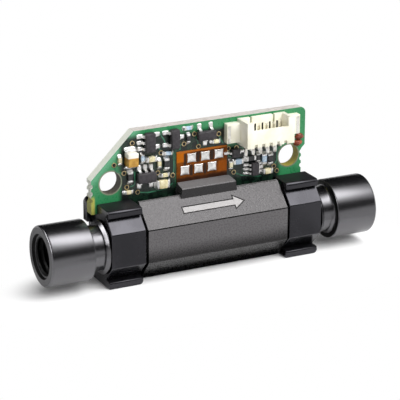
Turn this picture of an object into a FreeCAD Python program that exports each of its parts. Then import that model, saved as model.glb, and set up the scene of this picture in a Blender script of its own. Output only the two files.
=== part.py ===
import FreeCAD, Part
import math
import os
import re
import Sketcher

# Liquid flow sensor. +X is the flow direction, +Y points behind the circuit board, +Z is up.
# Every piece is drawn about the flow axis and then raised by axis_height, so the feet stand on Z = 0.
dimensions = {
    # Flow axis and fittings
    "axis_height": 5.8,
    "overall_length": 54.0,
    "fitting_diameter": 9.2,
    "fitting_length": 6.8,
    "fitting_chamfer": 0.15,
    "fitting_edge": 0.15,
    "neck_diameter": 6.8,
    "collar_diameter": 8.2,
    "collar_width": 0.72,
    "collar_bevel": 0.4,
    "stem_diameter": 4.8,
    "stem_start": 9.6,
    "port_diameter": 5.5,
    "port_depth": 8.0,
    "port_mouth": 6.75,
    "port_mouth_depth": 0.55,
    "passage_diameter": 1.2,
    "tube_diameter": 1.8,
    "tube_bore": 1.0,
    "seal_diameter": 3.2,
    "seal_length": 3.0,
    "press_clearance": 0.02,
    # Housing section, seen along the flow axis
    "body_front": 4.0,
    "body_back": 4.0,
    "face_top": 2.77,
    "face_bottom": 2.28,
    "crest_height": 6.2,
    "crest_flat": 0.3,
    "belly_height": 5.68,
    "belly_slope_run": 3.0,
    "body_edge": 0.25,
    "parting_bevel": 0.12,
    "spigot_diameter": 6.2,
    "trough_half_length": 8.8,
    "trough_half_width": 2.7,
    "trough_depth": 2.7,
    "rim_height": 1.2,
    "rim_wall": 0.7,
    "rim_clearance": 0.08,
    # Ridge in front of the flex circuit, and the flow arrow on the slope
    "ridge_centre": -0.2,
    "ridge_front": 1.0,
    "ridge_base_half": 4.85,
    "ridge_top_half": 4.4,
    "ridge_front_height": 7.28,
    "ridge_back_height": 7.6,
    "ridge_corner": 0.3,
    "ridge_bevel": 0.12,
    "arrow_tail": 5.27,
    "arrow_neck": 3.25,
    "arrow_tip": 5.1,
    "arrow_line": 2.4,
    "arrow_shaft_half": 0.57,
    "arrow_head_half": 1.22,
    "arrow_depth": 0.12,
    "arrow_groove": 0.12,
    # End clips
    "clip_end": 17.45,
    "clip_width": 5.48,
    "clip_gap": 0.4,
    "clip_back": 4.5,
    "clip_face_top": 2.96,
    "clip_face_bottom": 2.24,
    "clip_clearance": 0.03,
    "clip_edge": 0.3,
    "flange_thickness": 1.13,
    "flange_top": 6.15,
    "flange_front": 2.76,
    "foot_front": 3.0,
    "foot_corner": 0.65,
    "flange_edge": 0.2,
    "tab_top": 6.6,
    "tab_corner": 0.9,
    "slot_clearance": 0.05,
    # Circuit board
    "board_front": 1.39,
    "board_thickness": 1.6,
    "board_bottom": 4.6,
    "board_top": 16.5,
    "board_left": 18.29,
    "board_right": 17.32,
    "board_right_low": 16.71,
    "board_step_height": 9.9,
    "board_step_rise": 0.6,
    "board_cut_across": 6.81,
    "board_cut_down": 6.7,
    "board_corner": 0.9,
    "board_hole": 3.4,
    "board_hole_height": 9.1,
    "board_hole_left": 15.24,
    "board_hole_right": 14.5,
    "bite_radius": 0.36,
    "bite_depth": 0.25,
    "bite_pitch": 1.1,
    "bite_left_height": 6.7,
    "bite_right_height": 7.2,
    "bite_count": 3,
    # Flex circuit and sensor chip
    "flex_thickness": 0.1,
    "flex_centre": -0.29,
    "flex_width": 8.41,
    "flex_top": 12.3,
    "flex_tail_width": 3.6,
    "flex_shoulder": 5.0,
    "flex_clearance": 0.12,
    "sensor_length": 2.8,
    "sensor_height": 1.8,
    "joint_width": 1.48,
    "joint_height": 1.45,
    "joint_thickness": 0.12,
    "joint_pitch": 2.265,
    "joint_lower_row": 9.28,
    "joint_upper_row": 11.1,
    # Connector
    "connector_centre": 9.61,
    "connector_half": 4.01,
    "connector_bottom": 12.2,
    "connector_top": 16.2,
    "connector_rise": 3.4,
    "connector_wall": 0.6,
    "connector_floor": 1.0,
    "latch_half": 2.95,
    "latch_bottom": 14.85,
    "key_half_spacing": 1.93,
    "key_width": 0.32,
    "key_bottom": 15.0,
    "ear_half": 6.2,
    "ear_rise": 1.1,
    "ear_bottom": 12.75,
    "ear_top": 15.75,
    "anchor_inset": 0.12,
    "anchor_thickness": 0.5,
    "anchor_height": 2.7,
    "contact_pitch": 1.25,
    "contact_count": 5,
    "contact_width": 0.32,
    "contact_thickness": 0.26,
    "contact_rise": 1.75,
    "contact_top": 15.4,
    "contact_knee": 11.7,
    "contact_toe": 10.1,
    "relief_width": 0.5,
    "relief_height": 0.55,
    "relief_depth": 0.45,
    # Moulded packages: five lead, three lead and the small six lead one
    "package_standoff": 0.1,
    "package_draft": 0.09,
    "wide_package_width": 1.5,
    "narrow_package_width": 1.3,
    "package_length": 2.9,
    "package_thickness": 1.05,
    "small_package_width": 1.15,
    "small_package_length": 2.0,
    "small_package_thickness": 0.9,
    "diode_width": 1.25,
    "diode_length": 1.2,
    "lead_pitch": 0.95,
    "small_lead_pitch": 0.65,
    "lead_width": 0.42,
    "small_lead_width": 0.3,
    "lead_thickness": 0.14,
    "lead_level": 0.5,
    "lead_shoulder": 0.16,
    "lead_reach": 0.62,
    # Capacitors and resistors
    "tantalum_width": 1.7,
    "tantalum_length": 2.1,
    "tantalum_thickness": 1.5,
    "chip_length": 1.6,
    "chip_width": 0.8,
    "capacitor_thickness": 0.7,
    "resistor_thickness": 0.45,
    "tiny_chip_length": 1.2,
    "tiny_chip_width": 0.55,
    "tiny_chip_thickness": 0.45,
    "tiny_cap_length": 0.22,
    "large_chip_length": 2.0,
    "large_chip_width": 1.25,
    "cap_length": 0.32,
    # Lacquer drops
    "drop_length": 1.3,
    "drop_height": 0.86,
    "drop_thickness": 0.5,
}

doc = FreeCAD.newDocument("LiquidFlowSensor")
sheet = doc.addObject("Spreadsheet::Sheet", "Dimensions")
for row, (alias, number) in enumerate(dimensions.items(), start=1):
    sheet.set(f"A{row}", alias)
    sheet.set(f"B{row}", str(number))
    sheet.setAlias(f"B{row}", alias)
doc.recompute()

# Places that several pieces share, as expressions of the sheet's cells
half_length = "overall_length / 2"
sleeve_start = "(overall_length / 2 - fitting_length)"
collar_end = "(clip_end + collar_width)"
clip_start = "(clip_end - clip_width)"
body_half = "(clip_end - clip_width - clip_gap)"
crest_front = "(crest_height - face_top - body_front)"
belly_front = "(body_front - belly_slope_run)"
arrow_flank = "sqrt((arrow_tip - arrow_neck) ^ 2 + arrow_head_half ^ 2)"
board_back = "(board_front + board_thickness)"
flex_front = "(board_front - flex_thickness)"
ridge_back = "(board_front - flex_thickness - flex_clearance)"
flange_under = "(flange_top - flange_thickness)"
foot_top = "(axis_height - flange_thickness)"
seat = "(stem_start + seal_length)"
connector_front = "(board_front - connector_rise)"
contact_line = "(board_front - contact_rise)"
anchor_reach = "(ear_half - anchor_inset - anchor_thickness / 2)"
first_contact = "(connector_centre - contact_pitch * (contact_count - 1) / 2)"

nodes = []


def cells(text):
    """Expression text with each alias given its sheet's name."""
    def named(word):
        alias = word.group()
        return "Dimensions." + alias if alias in dimensions else alias
    return re.sub(r"[a-z_]+", named, text)


def bind(thing, **properties):
    for name, text in properties.items():
        thing.setExpression(name.replace("__", "."), cells(text))


def place(thing, x="0", y="0", z="0"):
    """Position about the flow axis, raised to the axis height."""
    bind(thing, Placement__Base__x=x, Placement__Base__y=y, Placement__Base__z=f"axis_height + {z}")


def keep(thing, label):
    """Make an object one of the sub-parts that are written out."""
    thing.Label = label
    nodes.append(thing)
    return thing


def new_body(label):
    body = keep(doc.addObject("PartDesign::Body", "Body"), label)
    place(body)
    return body


def origin_plane(body, role):
    return next(feature for feature in body.Origin.OriginFeatures if feature.Role == role)


def sketch_on(body, name, plane, offset="0"):
    sketch = body.newObject("Sketcher::SketchObject", name)
    sketch.AttachmentSupport = (origin_plane(body, plane), [""])
    sketch.MapMode = "FlatFace"
    bind(sketch, AttachmentOffset__Base__z=offset)
    return sketch


def fix_point(sketch, geometry, position, x, y, seed):
    """Tie a sketch point to its two coordinates."""
    for kind, text, start in (("DistanceX", x, seed.x), ("DistanceY", y, seed.y)):
        index = sketch.addConstraint(Sketcher.Constraint(kind, -1, 1, geometry, position, start))
        sketch.setExpression(f"Constraints[{index}]", cells(text))


def draw_outline(sketch, corners):
    """Closed outline of straight lines; corners maps a name to its two coordinates."""
    first = sketch.GeometryCount
    count = len(corners)
    turns = [2 * math.pi * step / count for step in range(count)]
    seeds = [FreeCAD.Vector(math.cos(turn), math.sin(turn), 0) for turn in turns]
    for step in range(count):
        sketch.addGeometry(Part.LineSegment(seeds[step], seeds[(step + 1) % count]))
    for step in range(count):
        following = first + (step + 1) % count
        sketch.addConstraint(Sketcher.Constraint("Coincident", first + step, 2, following, 1))
    for step, (x, y) in enumerate(corners.values()):
        fix_point(sketch, first + step, 1, x, y, seeds[step])


def draw_box(sketch, left, right, low, high):
    draw_outline(sketch, {"a": (left, low), "b": (right, low), "c": (right, high), "d": (left, high)})


def draw_about(sketch, centre, half, low, high):
    """Rectangle with equal reach to both sides of a centre."""
    draw_box(sketch, f"{centre} - {half}", f"{centre} + {half}", low, high)


def draw_circle(sketch, diameter, x="0", y="0"):
    seed = FreeCAD.Vector(1, 1, 0)
    circle = sketch.addGeometry(Part.Circle(seed, FreeCAD.Vector(0, 0, 1), 1.0))
    fix_point(sketch, circle, 3, x, y, seed)
    index = sketch.addConstraint(Sketcher.Constraint("Diameter", circle, 2.0))
    sketch.setExpression(f"Constraints[{index}]", cells(diameter))


def extrude(body, kind, name, sketch, length="", sides="One side", reverse=False):
    """Pad or Pocket of a sketch; a pocket with no length goes through everything."""
    feature = body.newObject("PartDesign::" + kind, name)
    feature.Profile = sketch
    feature.SideType = sides
    feature.Reversed = reverse
    if length:
        bind(feature, Length=length)
    else:
        feature.Type = "ThroughAll"
    doc.recompute()
    return feature


def swept_edges(feature, sketch, corners, wanted):
    """Names of the edges that an outline's named corners leave behind when it is padded or turned."""
    normal = sketch.Placement.Rotation.multVec(FreeCAD.Vector(0, 0, 1))
    found = []
    for step, corner in enumerate(corners):
        if corner not in wanted:
            continue
        point = sketch.Placement.multVec(sketch.getPoint(step, 1))
        for number, edge in enumerate(feature.Shape.Edges, start=1):
            if isinstance(edge.Curve, Part.Line):
                swept = abs(abs(edge.Curve.Direction.dot(normal)) - 1) < 1e-6
            else:
                swept = isinstance(edge.Curve, Part.Circle)
            if swept and edge.distToShape(Part.Vertex(point))[0] < 1e-6:
                found.append(f"Edge{number}")
    return found


def soften(body, kind, name, feature, edges, size):
    """Fillet or Chamfer on named edges of a feature."""
    dressing = body.newObject("PartDesign::" + kind, name)
    dressing.Base = (feature, edges)
    bind(dressing, **{"Radius" if kind == "Fillet" else "Size": size})
    doc.recompute()
    return dressing


def row_of(body, feature, name, axis, pitch, count):
    """Linear pattern of a feature along one of the body's axes."""
    pattern = body.newObject("PartDesign::LinearPattern", name)
    pattern.Originals = [feature]
    pattern.Direction = (origin_plane(body, axis), [""])
    pattern.Mode = "Spacing"
    bind(pattern, Offset=pitch, Occurrences=count)
    body.Tip = pattern
    doc.recompute()
    return pattern


def mirrored(body, feature, name, plane):
    mirror = body.newObject("PartDesign::Mirrored", name)
    mirror.Originals = [feature]
    mirror.MirrorPlane = (origin_plane(body, plane), [""])
    body.Tip = mirror
    doc.recompute()
    return mirror


def group(members, label):
    compound = doc.addObject("Part::Compound", "Group")
    compound.Links = members
    return keep(compound, label)


def block(length, depth, height, x, y, z):
    """Rectangular block given by its low corner."""
    box = doc.addObject("Part::Box", "Block")
    bind(box, Length=length, Width=depth, Height=height)
    place(box, x, y, z)
    return box


def axial_tube(label, outer, inner, start, length):
    """Sleeve on the flow axis."""
    rounds = []
    for diameter in (outer, inner):
        cylinder = doc.addObject("Part::Cylinder", "Round")
        bind(cylinder, Radius=f"({diameter}) / 2", Height=length)
        cylinder.Placement.Rotation = FreeCAD.Rotation(FreeCAD.Vector(0, 1, 0), 90)
        place(cylinder, start)
        rounds.append(cylinder)
    tube = doc.addObject("Part::Cut", "Tube")
    tube.Base, tube.Tool = rounds
    return keep(tube, label)


# Fittings: one turned profile, the inlet being the outlet turned about the vertical axis
def make_fitting(label, turn):
    body = new_body(label)
    corners = {
        "stem_tip_inner": ("stem_start", "seal_diameter / 2 + press_clearance"),
        "stem_tip": ("stem_start", "stem_diameter / 2"),
        "stem_root": ("clip_end", "stem_diameter / 2"),
        "collar_inner": ("clip_end", "collar_diameter / 2"),
        "collar_outer": (collar_end, "collar_diameter / 2"),
        "neck_inner": (collar_end, "neck_diameter / 2"),
        "neck_outer": (sleeve_start, "neck_diameter / 2"),
        "sleeve_inner": (sleeve_start, "fitting_diameter / 2"),
        "sleeve_outer": (half_length, "fitting_diameter / 2"),
        "mouth_rim": (half_length, "port_mouth / 2"),
        "mouth_root": (f"{half_length} - port_mouth_depth", "port_diameter / 2"),
        "floor_rim": (f"{half_length} - port_depth", "port_diameter / 2"),
        "floor_inner": (f"{half_length} - port_depth", "passage_diameter / 2"),
        "passage_inner": (seat, "passage_diameter / 2"),
        "seal_seat": (seat, "seal_diameter / 2 + press_clearance"),
    }
    sketch = sketch_on(body, "Profile", "XZ_Plane")
    draw_outline(sketch, corners)
    turned = body.newObject("PartDesign::Revolution", "Turned")
    turned.Profile = sketch
    turned.ReferenceAxis = (sketch, ["H_Axis"])
    turned.Angle = 360
    doc.recompute()
    rim = swept_edges(turned, sketch, corners, ["sleeve_outer"])
    chamfer = soften(body, "Chamfer", "RimChamfer", turned, rim, "fitting_chamfer")
    inner = swept_edges(chamfer, sketch, corners, ["sleeve_inner"])
    sleeve = soften(body, "Chamfer", "SleeveEdge", chamfer, inner, "fitting_edge")
    collar = swept_edges(sleeve, sketch, corners, ["collar_outer"])
    soften(body, "Chamfer", "CollarBevel", sleeve, collar, "collar_bevel")
    body.Placement.Rotation = FreeCAD.Rotation(FreeCAD.Vector(0, 0, 1), turn)


make_fitting("outlet_fitting", 0)
make_fitting("inlet_fitting", 180)

# Glass measuring tube, held at both ends in a sleeve seal against the fitting's seat
axial_tube("measuring_tube", "tube_diameter", "tube_bore", f"-{seat}", f"2 * {seat}")
seal_bore = "tube_diameter + 2 * press_clearance"
axial_tube("outlet_seal", "seal_diameter", seal_bore, "stem_start", "seal_length")
axial_tube("inlet_seal", "seal_diameter", seal_bore, f"-{seat}", "seal_length")

# Sensor chip between the tube's side and the flex circuit's tail
chip_rise = f"{flex_front} - tube_diameter / 2"
sensor = block("sensor_length", chip_rise, "sensor_height", "flex_centre - sensor_length / 2",
               "tube_diameter / 2", "-sensor_height / 2")
keep(sensor, "sensor_chip")


# Housing base: octagonal trough below the parting line, with a tubular spigot for each clip
def make_housing_base():
    body = new_body("housing_base")
    corners = {
        "face_low": ("-body_front", "-face_bottom"),
        "belly_front": (f"-{belly_front}", "-belly_height"),
        "belly_back": ("body_back - belly_slope_run", "-belly_height"),
        "back_low": ("body_back", "-face_bottom"),
        "back_top": ("body_back", "face_top"),
        "face_top": ("-body_front", "face_top"),
    }
    section = sketch_on(body, "Section", "YZ_Plane")
    draw_outline(section, corners)
    shell = extrude(body, "Pad", "Shell", section, f"2 * {body_half}", "Symmetric")
    low_edges = swept_edges(shell, section, corners, ["face_low", "belly_front", "belly_back", "back_low"])
    rounded = soften(body, "Fillet", "LowerEdges", shell, low_edges, "body_edge")
    parting = swept_edges(rounded, section, corners, ["face_top", "back_top"])
    soften(body, "Chamfer", "PartingBevel", rounded, parting, "parting_bevel")
    circle = sketch_on(body, "SpigotSection", "YZ_Plane", body_half)
    draw_circle(circle, "spigot_diameter")
    spigot = extrude(body, "Pad", "Spigot", circle, f"clip_end - {body_half}")
    mirrored(body, spigot, "Spigots", "YZ_Plane")
    opening = sketch_on(body, "TroughOpening", "XY_Plane", "face_top")
    draw_about(opening, "0", "trough_half_length", "-trough_half_width", "trough_half_width")
    extrude(body, "Pocket", "Trough", opening, "face_top + trough_depth")
    bore = sketch_on(body, "StemBoreSection", "YZ_Plane")
    draw_circle(bore, "stem_diameter + 2 * press_clearance")
    extrude(body, "Pocket", "StemBore", bore, "2 * clip_end", "Symmetric")


# Housing cover: sloped lid with the board's ledge, the ridge, the flow arrow and a rim into the trough
def make_housing_cover():
    body = new_body("housing_cover")
    corners = {
        "front_low": ("-body_front", "face_top"),
        "crest_front": (crest_front, "crest_height"),
        "crest_back": (f"{crest_front} + crest_flat", "crest_height"),
        "ledge_front": (f"{crest_front} + crest_flat", "board_bottom"),
        "ledge_back": ("body_back", "board_bottom"),
        "back_low": ("body_back", "face_top"),
    }
    section = sketch_on(body, "Section", "YZ_Plane")
    draw_outline(section, corners)
    lid = extrude(body, "Pad", "Lid", section, f"2 * {body_half}", "Symmetric")
    crest = swept_edges(lid, section, corners, ["crest_front", "ledge_back"])
    rounded = soften(body, "Fillet", "CrestEdge", lid, crest, "body_edge")
    parting = swept_edges(rounded, section, corners, ["front_low", "back_low"])
    soften(body, "Chamfer", "PartingBevel", rounded, parting, "parting_bevel")

    ridge_outline = {
        "left_low": ("ridge_centre - ridge_base_half", "board_bottom"),
        "right_low": ("ridge_centre + ridge_base_half", "board_bottom"),
        "right_top": ("ridge_centre + ridge_top_half", "ridge_back_height"),
        "left_top": ("ridge_centre - ridge_top_half", "ridge_back_height"),
    }
    ridge_sketch = sketch_on(body, "RidgeFront", "XZ_Plane", "ridge_front")
    draw_outline(ridge_sketch, ridge_outline)
    ridge = extrude(body, "Pad", "Ridge", ridge_sketch, f"ridge_front + {ridge_back}", reverse=True)
    ends = swept_edges(ridge, ridge_sketch, ridge_outline, ["right_top", "left_top"])
    soften(body, "Fillet", "RidgeEnds", ridge, ends, "ridge_corner")
    tilt = sketch_on(body, "RidgeTilt", "YZ_Plane")
    draw_outline(tilt, {
        "front_low": ("-ridge_front", "ridge_front_height - ridge_bevel"),
        "bevel_top": ("ridge_bevel - ridge_front", "ridge_front_height"),
        "back": (ridge_back, "ridge_back_height"),
        "front_high": ("-ridge_front", "ridge_back_height"),
    })
    extrude(body, "Pocket", "RidgeTop", tilt, "4 * ridge_base_half", "Symmetric")

    slit = sketch_on(body, "FlexSlit", "XY_Plane", "board_bottom")
    reach = "(flex_tail_width / 2 + flex_clearance)"
    draw_about(slit, "flex_centre", reach, ridge_back, "board_front + flex_clearance")
    extrude(body, "Pocket", "FlexPassage", slit, "board_bottom - face_top")

    rim = sketch_on(body, "RimSection", "XY_Plane", "face_top")
    along = "(trough_half_length - rim_clearance)"
    across = "(trough_half_width - rim_clearance)"
    for inset in ("0", "rim_wall"):
        draw_about(rim, "0", f"({along} - {inset})", f"{inset} - {across}", f"{across} - {inset}")
    extrude(body, "Pad", "Rim", rim, "rim_height", reverse=True)

    arrow = sketch_on(body, "ArrowOutline", "XZ_Plane")
    arrow.AttachmentOffset.Rotation = FreeCAD.Rotation(FreeCAD.Vector(1, 0, 0), -45)
    bind(arrow, AttachmentOffset__Base__y="face_top", AttachmentOffset__Base__z="body_front")
    for inset in ("0", "arrow_groove"):
        neck = f"(arrow_neck + {inset})"
        tip = f"(arrow_tip - {inset} * {arrow_flank} / arrow_head_half)"
        barb = f"arrow_head_half * ({tip} - {neck}) / (arrow_tip - arrow_neck)"
        shaft = f"(arrow_shaft_half - {inset})"
        draw_outline(arrow, {
            "tail_low": (f"{inset} - arrow_tail", f"arrow_line - {shaft}"),
            "neck_low": (neck, f"arrow_line - {shaft}"),
            "barb_low": (neck, f"arrow_line - {barb}"),
            "tip": (tip, "arrow_line"),
            "barb_high": (neck, f"arrow_line + {barb}"),
            "neck_high": (neck, f"arrow_line + {shaft}"),
            "tail_high": (f"{inset} - arrow_tail", f"arrow_line + {shaft}"),
        })
    extrude(body, "Pocket", "FlowArrow", arrow, "arrow_depth")


make_housing_base()
make_housing_cover()


# End clips: bracket section with a flange above, a foot below and a tab behind the circuit board
def make_clip(label, start, tab_start, tab_length):
    body = new_body(label)
    shoulder = "(axis_height - flange_thickness - clip_face_bottom - body_front)"
    corners = {
        "foot_low": ("-foot_front", "-axis_height"),
        "foot_high": ("-foot_front", f"-{foot_top}"),
        "foot_root": (shoulder, f"-{foot_top}"),
        "face_low": ("-body_front", "-clip_face_bottom"),
        "face_high": ("-body_front", "clip_face_top"),
        "flange_root": (f"{flange_under} - clip_face_top - body_front", flange_under),
        "flange_low": ("-flange_front", flange_under),
        "flange_high": ("-flange_front", "flange_top"),
        "slot_high": ("board_front - slot_clearance", "flange_top"),
        "slot_low": ("board_front - slot_clearance", "board_bottom"),
        "back_high": ("clip_back", "board_bottom"),
        "back_low": ("clip_back", "-axis_height"),
    }
    section = sketch_on(body, "Section", "YZ_Plane", start)
    draw_outline(section, corners)
    bracket = extrude(body, "Pad", "Bracket", section, "clip_width")
    tips = swept_edges(bracket, section, corners, ["foot_high", "flange_low", "flange_high"])
    tip_rounds = soften(body, "Fillet", "FlangeEdges", bracket, tips, "flange_edge")
    faces = swept_edges(tip_rounds, section, corners, ["face_low", "face_high"])
    rounded = soften(body, "Fillet", "FaceEdges", tip_rounds, faces, "clip_edge")
    box = rounded.Shape.BoundBox
    lowest = [f"Edge{number}" for number, edge in enumerate(rounded.Shape.Edges, start=1)
              if edge.BoundBox.ZMax < box.ZMin + 1e-4 and edge.BoundBox.XMin > box.XMax - 1e-4]
    soften(body, "Fillet", "FootCorner", rounded, lowest, "foot_corner")

    plate = {
        "inner_low": (tab_start, "clip_face_top"),
        "outer_low": (f"{tab_start} + {tab_length}", "clip_face_top"),
        "outer_high": (f"{tab_start} + {tab_length}", "tab_top"),
        "inner_high": (tab_start, "tab_top"),
    }
    tab_sketch = sketch_on(body, "TabOutline", "XZ_Plane", "-clip_back")
    draw_outline(tab_sketch, plate)
    tab = extrude(body, "Pad", "Tab", tab_sketch, f"clip_back - {board_back} - slot_clearance")
    tops = swept_edges(tab, tab_sketch, plate, ["outer_high", "inner_high"])
    soften(body, "Fillet", "TabCorners", tab, tops, "tab_corner")

    circle = sketch_on(body, "SpigotHole", "YZ_Plane", start)
    draw_circle(circle, "spigot_diameter + 2 * clip_clearance")
    extrude(body, "Pocket", "Bore", circle, "clip_width", reverse=True)


make_clip("inlet_clip", "-clip_end", "-board_left", f"(board_left - {clip_start})")
make_clip("outlet_clip", clip_start, clip_start, f"(board_right_low - {clip_start})")


# Circuit board: cut corner, stepped right edge, two fixing holes and the bites of its break-off tabs
def make_board():
    body = new_body("circuit_board")
    corners = {
        "left_low": ("-board_left", "board_bottom"),
        "right_low": ("board_right_low", "board_bottom"),
        "step_low": ("board_right_low", "board_step_height"),
        "step_high": ("board_right", "board_step_height + board_step_rise"),
        "right_high": ("board_right", "board_top"),
        "cut_high": ("board_cut_across - board_left", "board_top"),
        "cut_low": ("-board_left", "board_top - board_cut_down"),
    }
    outline = sketch_on(body, "Outline", "XZ_Plane", f"-{board_back}")
    draw_outline(outline, corners)
    plate = extrude(body, "Pad", "Laminate", outline, "board_thickness")
    corner = swept_edges(plate, outline, corners, ["right_high"])
    soften(body, "Fillet", "RoundCorner", plate, corner, "board_corner")
    holes = sketch_on(body, "FixingHoles", "XZ_Plane", "-board_front")
    draw_circle(holes, "board_hole", "-board_hole_left", "board_hole_height")
    draw_circle(holes, "board_hole", "board_hole_right", "board_hole_height")
    extrude(body, "Pocket", "Holes", holes, "board_thickness")
    bites = (("Left", "-(board_left + bite_radius - bite_depth)", "bite_left_height"),
             ("Right", "board_right_low + bite_radius - bite_depth", "bite_right_height"))
    for name, across, height in bites:
        circle = sketch_on(body, name + "BiteOutline", "XZ_Plane", "-board_front")
        draw_circle(circle, "2 * bite_radius", across, height)
        bite = extrude(body, "Pocket", name + "Bite", circle, "board_thickness")
        row_of(body, bite, name + "Bites", "Z_Axis", "bite_pitch", "bite_count")


make_board()


# Flex circuit: wide head soldered to the board, narrow tail down to the sensor chip
def make_flex():
    body = new_body("flex_circuit")
    outline = sketch_on(body, "Outline", "XZ_Plane", "-board_front")
    head = "flex_width / 2"
    tail = "flex_tail_width / 2"
    draw_outline(outline, {
        "tail_left": (f"flex_centre - {tail}", "-sensor_height / 2"),
        "tail_right": (f"flex_centre + {tail}", "-sensor_height / 2"),
        "shoulder_right": (f"flex_centre + {tail}", "flex_shoulder"),
        "head_right": (f"flex_centre + {head}", "flex_shoulder"),
        "top_right": (f"flex_centre + {head}", "flex_top"),
        "top_left": (f"flex_centre - {head}", "flex_top"),
        "head_left": (f"flex_centre - {head}", "flex_shoulder"),
        "shoulder_left": (f"flex_centre - {tail}", "flex_shoulder"),
    })
    extrude(body, "Pad", "Film", outline, "flex_thickness")


make_flex()

# Solder joints of the flex circuit: two rows of three, the lower one set half a pitch to the left
joints = []
for joint_row, shift in (("joint_upper_row", 0.25), ("joint_lower_row", -0.25)):
    for step in (-1, 0, 1):
        centre = f"flex_centre + {step + shift} * joint_pitch"
        joints.append(block("joint_width", "joint_thickness", "joint_height", f"{centre} - joint_width / 2",
                            f"{flex_front} - joint_thickness", f"{joint_row} - joint_height / 2"))
group(joints, "flex_solder_joints")


# Connector: open-topped shell with a latch window in front, key slits behind and an ear at each side
def make_connector():
    body = new_body("connector_shell")
    ears = sketch_on(body, "EarOutline", "XZ_Plane", "-board_front")
    draw_about(ears, "connector_centre", "ear_half", "ear_bottom", "ear_top")
    extrude(body, "Pad", "Ears", ears, "ear_rise")
    trunk = sketch_on(body, "TrunkOutline", "XZ_Plane", "-board_front")
    draw_about(trunk, "connector_centre", "connector_half", "connector_bottom", "connector_top")
    extrude(body, "Pad", "Trunk", trunk, "connector_rise")
    mouth = sketch_on(body, "MouthOutline", "XY_Plane", "connector_top")
    draw_about(mouth, "connector_centre", "(connector_half - connector_wall)",
               f"{connector_front} + connector_wall", "board_front - connector_wall")
    extrude(body, "Pocket", "Mouth", mouth, "connector_top - connector_bottom - connector_floor")
    window = sketch_on(body, "LatchWindow", "XZ_Plane", f"-{connector_front}")
    draw_about(window, "connector_centre", "latch_half", "latch_bottom", "connector_top")
    extrude(body, "Pocket", "Latch", window, "connector_wall")
    keys = sketch_on(body, "KeySlits", "XZ_Plane", "connector_wall - board_front")
    for sign in ("-", "+"):
        draw_about(keys, f"connector_centre {sign} key_half_spacing", "key_width / 2",
                   "key_bottom", "connector_top")
    extrude(body, "Pocket", "Keys", keys, "connector_wall")
    slots = sketch_on(body, "AnchorSlots", "XZ_Plane", "ear_rise - board_front")
    for sign in ("-", "+"):
        draw_about(slots, f"connector_centre {sign} {anchor_reach}", "anchor_thickness / 2",
                   "ear_bottom", "ear_bottom + anchor_height")
    extrude(body, "Pocket", "Anchors", slots, "ear_rise")
    hole = sketch_on(body, "ContactHole", "XY_Plane", "connector_bottom + connector_floor")
    draw_about(hole, first_contact, "contact_width / 2",
               f"{contact_line} - contact_thickness / 2", f"{contact_line} + contact_thickness / 2")
    passage = extrude(body, "Pocket", "ContactPassage", hole, "connector_floor")
    row_of(body, passage, "ContactPassages", "X_Axis", "contact_pitch", "contact_count")
    notch = sketch_on(body, "ReliefOutline", "XZ_Plane", f"-{connector_front}")
    draw_about(notch, first_contact, "relief_width / 2",
               "connector_bottom", "connector_bottom + relief_height")
    relief = extrude(body, "Pocket", "Relief", notch, "relief_depth")
    row_of(body, relief, "Reliefs", "X_Axis", "contact_pitch", "contact_count")


# Contacts: straight blade in the shell, bent back below it to a foot on the board
def make_contacts():
    body = new_body("connector_contacts")
    body.AllowCompound = True
    blade = sketch_on(body, "BladeOutline", "YZ_Plane", first_contact)
    near = f"{contact_line} - contact_thickness / 2"
    far = f"{contact_line} + contact_thickness / 2"
    draw_outline(blade, {
        "tip_front": (near, "contact_top"),
        "heel_front": (near, "contact_knee - contact_thickness"),
        "knee_low": ("board_front - contact_thickness", "contact_knee - contact_thickness"),
        "toe_front": ("board_front - contact_thickness", "contact_toe"),
        "toe_back": ("board_front", "contact_toe"),
        "knee_back": ("board_front", "contact_knee"),
        "heel_back": (far, "contact_knee"),
        "tip_back": (far, "contact_top"),
    })
    contact = extrude(body, "Pad", "Contact", blade, "contact_width", "Symmetric")
    row_of(body, contact, "Contacts", "X_Axis", "contact_pitch", "contact_count")


make_connector()
make_contacts()
anchors = [block("anchor_thickness", "ear_rise", "anchor_height",
                 f"connector_centre {sign} {anchor_reach} - anchor_thickness / 2",
                 "board_front - ear_rise", "ear_bottom") for sign in ("-", "+")]
group(anchors, "connector_anchors")


# Bent lead drawn from a package's side outwards, its foot on the board
def make_lead(name, width):
    body = doc.addObject("PartDesign::Body", name)
    profile = sketch_on(body, "LeadProfile", "XY_Plane")
    draw_outline(profile, {
        "root_low": ("0", "-lead_level"),
        "shoulder_low": ("lead_shoulder", "-lead_level"),
        "heel": ("lead_shoulder + lead_thickness", "0"),
        "toe": ("lead_reach", "0"),
        "toe_top": ("lead_reach", "-lead_thickness"),
        "ankle": ("lead_shoulder + 2 * lead_thickness", "-lead_thickness"),
        "shoulder": ("lead_shoulder + lead_thickness", "-lead_level - lead_thickness"),
        "root": ("0", "-lead_level - lead_thickness"),
    })
    extrude(body, "Pad", "Strip", profile, width, "Symmetric")
    return body


lead = make_lead("Lead", "lead_width")
small_lead = make_lead("SmallLead", "small_lead_width")
lead_turns = {"right": 0, "left": 180, "up": -90, "down": 90}
leads = []

# Sizes of each kind of package: width between its lead rows, length, thickness, lead and pitch
wide_package = ("wide_package_width", "package_length", "package_thickness", lead, "lead_pitch")
narrow_package = ("narrow_package_width", "package_length", "package_thickness", lead, "lead_pitch")
small_package = ("small_package_width", "small_package_length", "small_package_thickness",
                 small_lead, "small_lead_pitch")
diode_package = ("diode_length", "diode_width", "small_package_thickness", small_lead, "small_lead_pitch")


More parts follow.
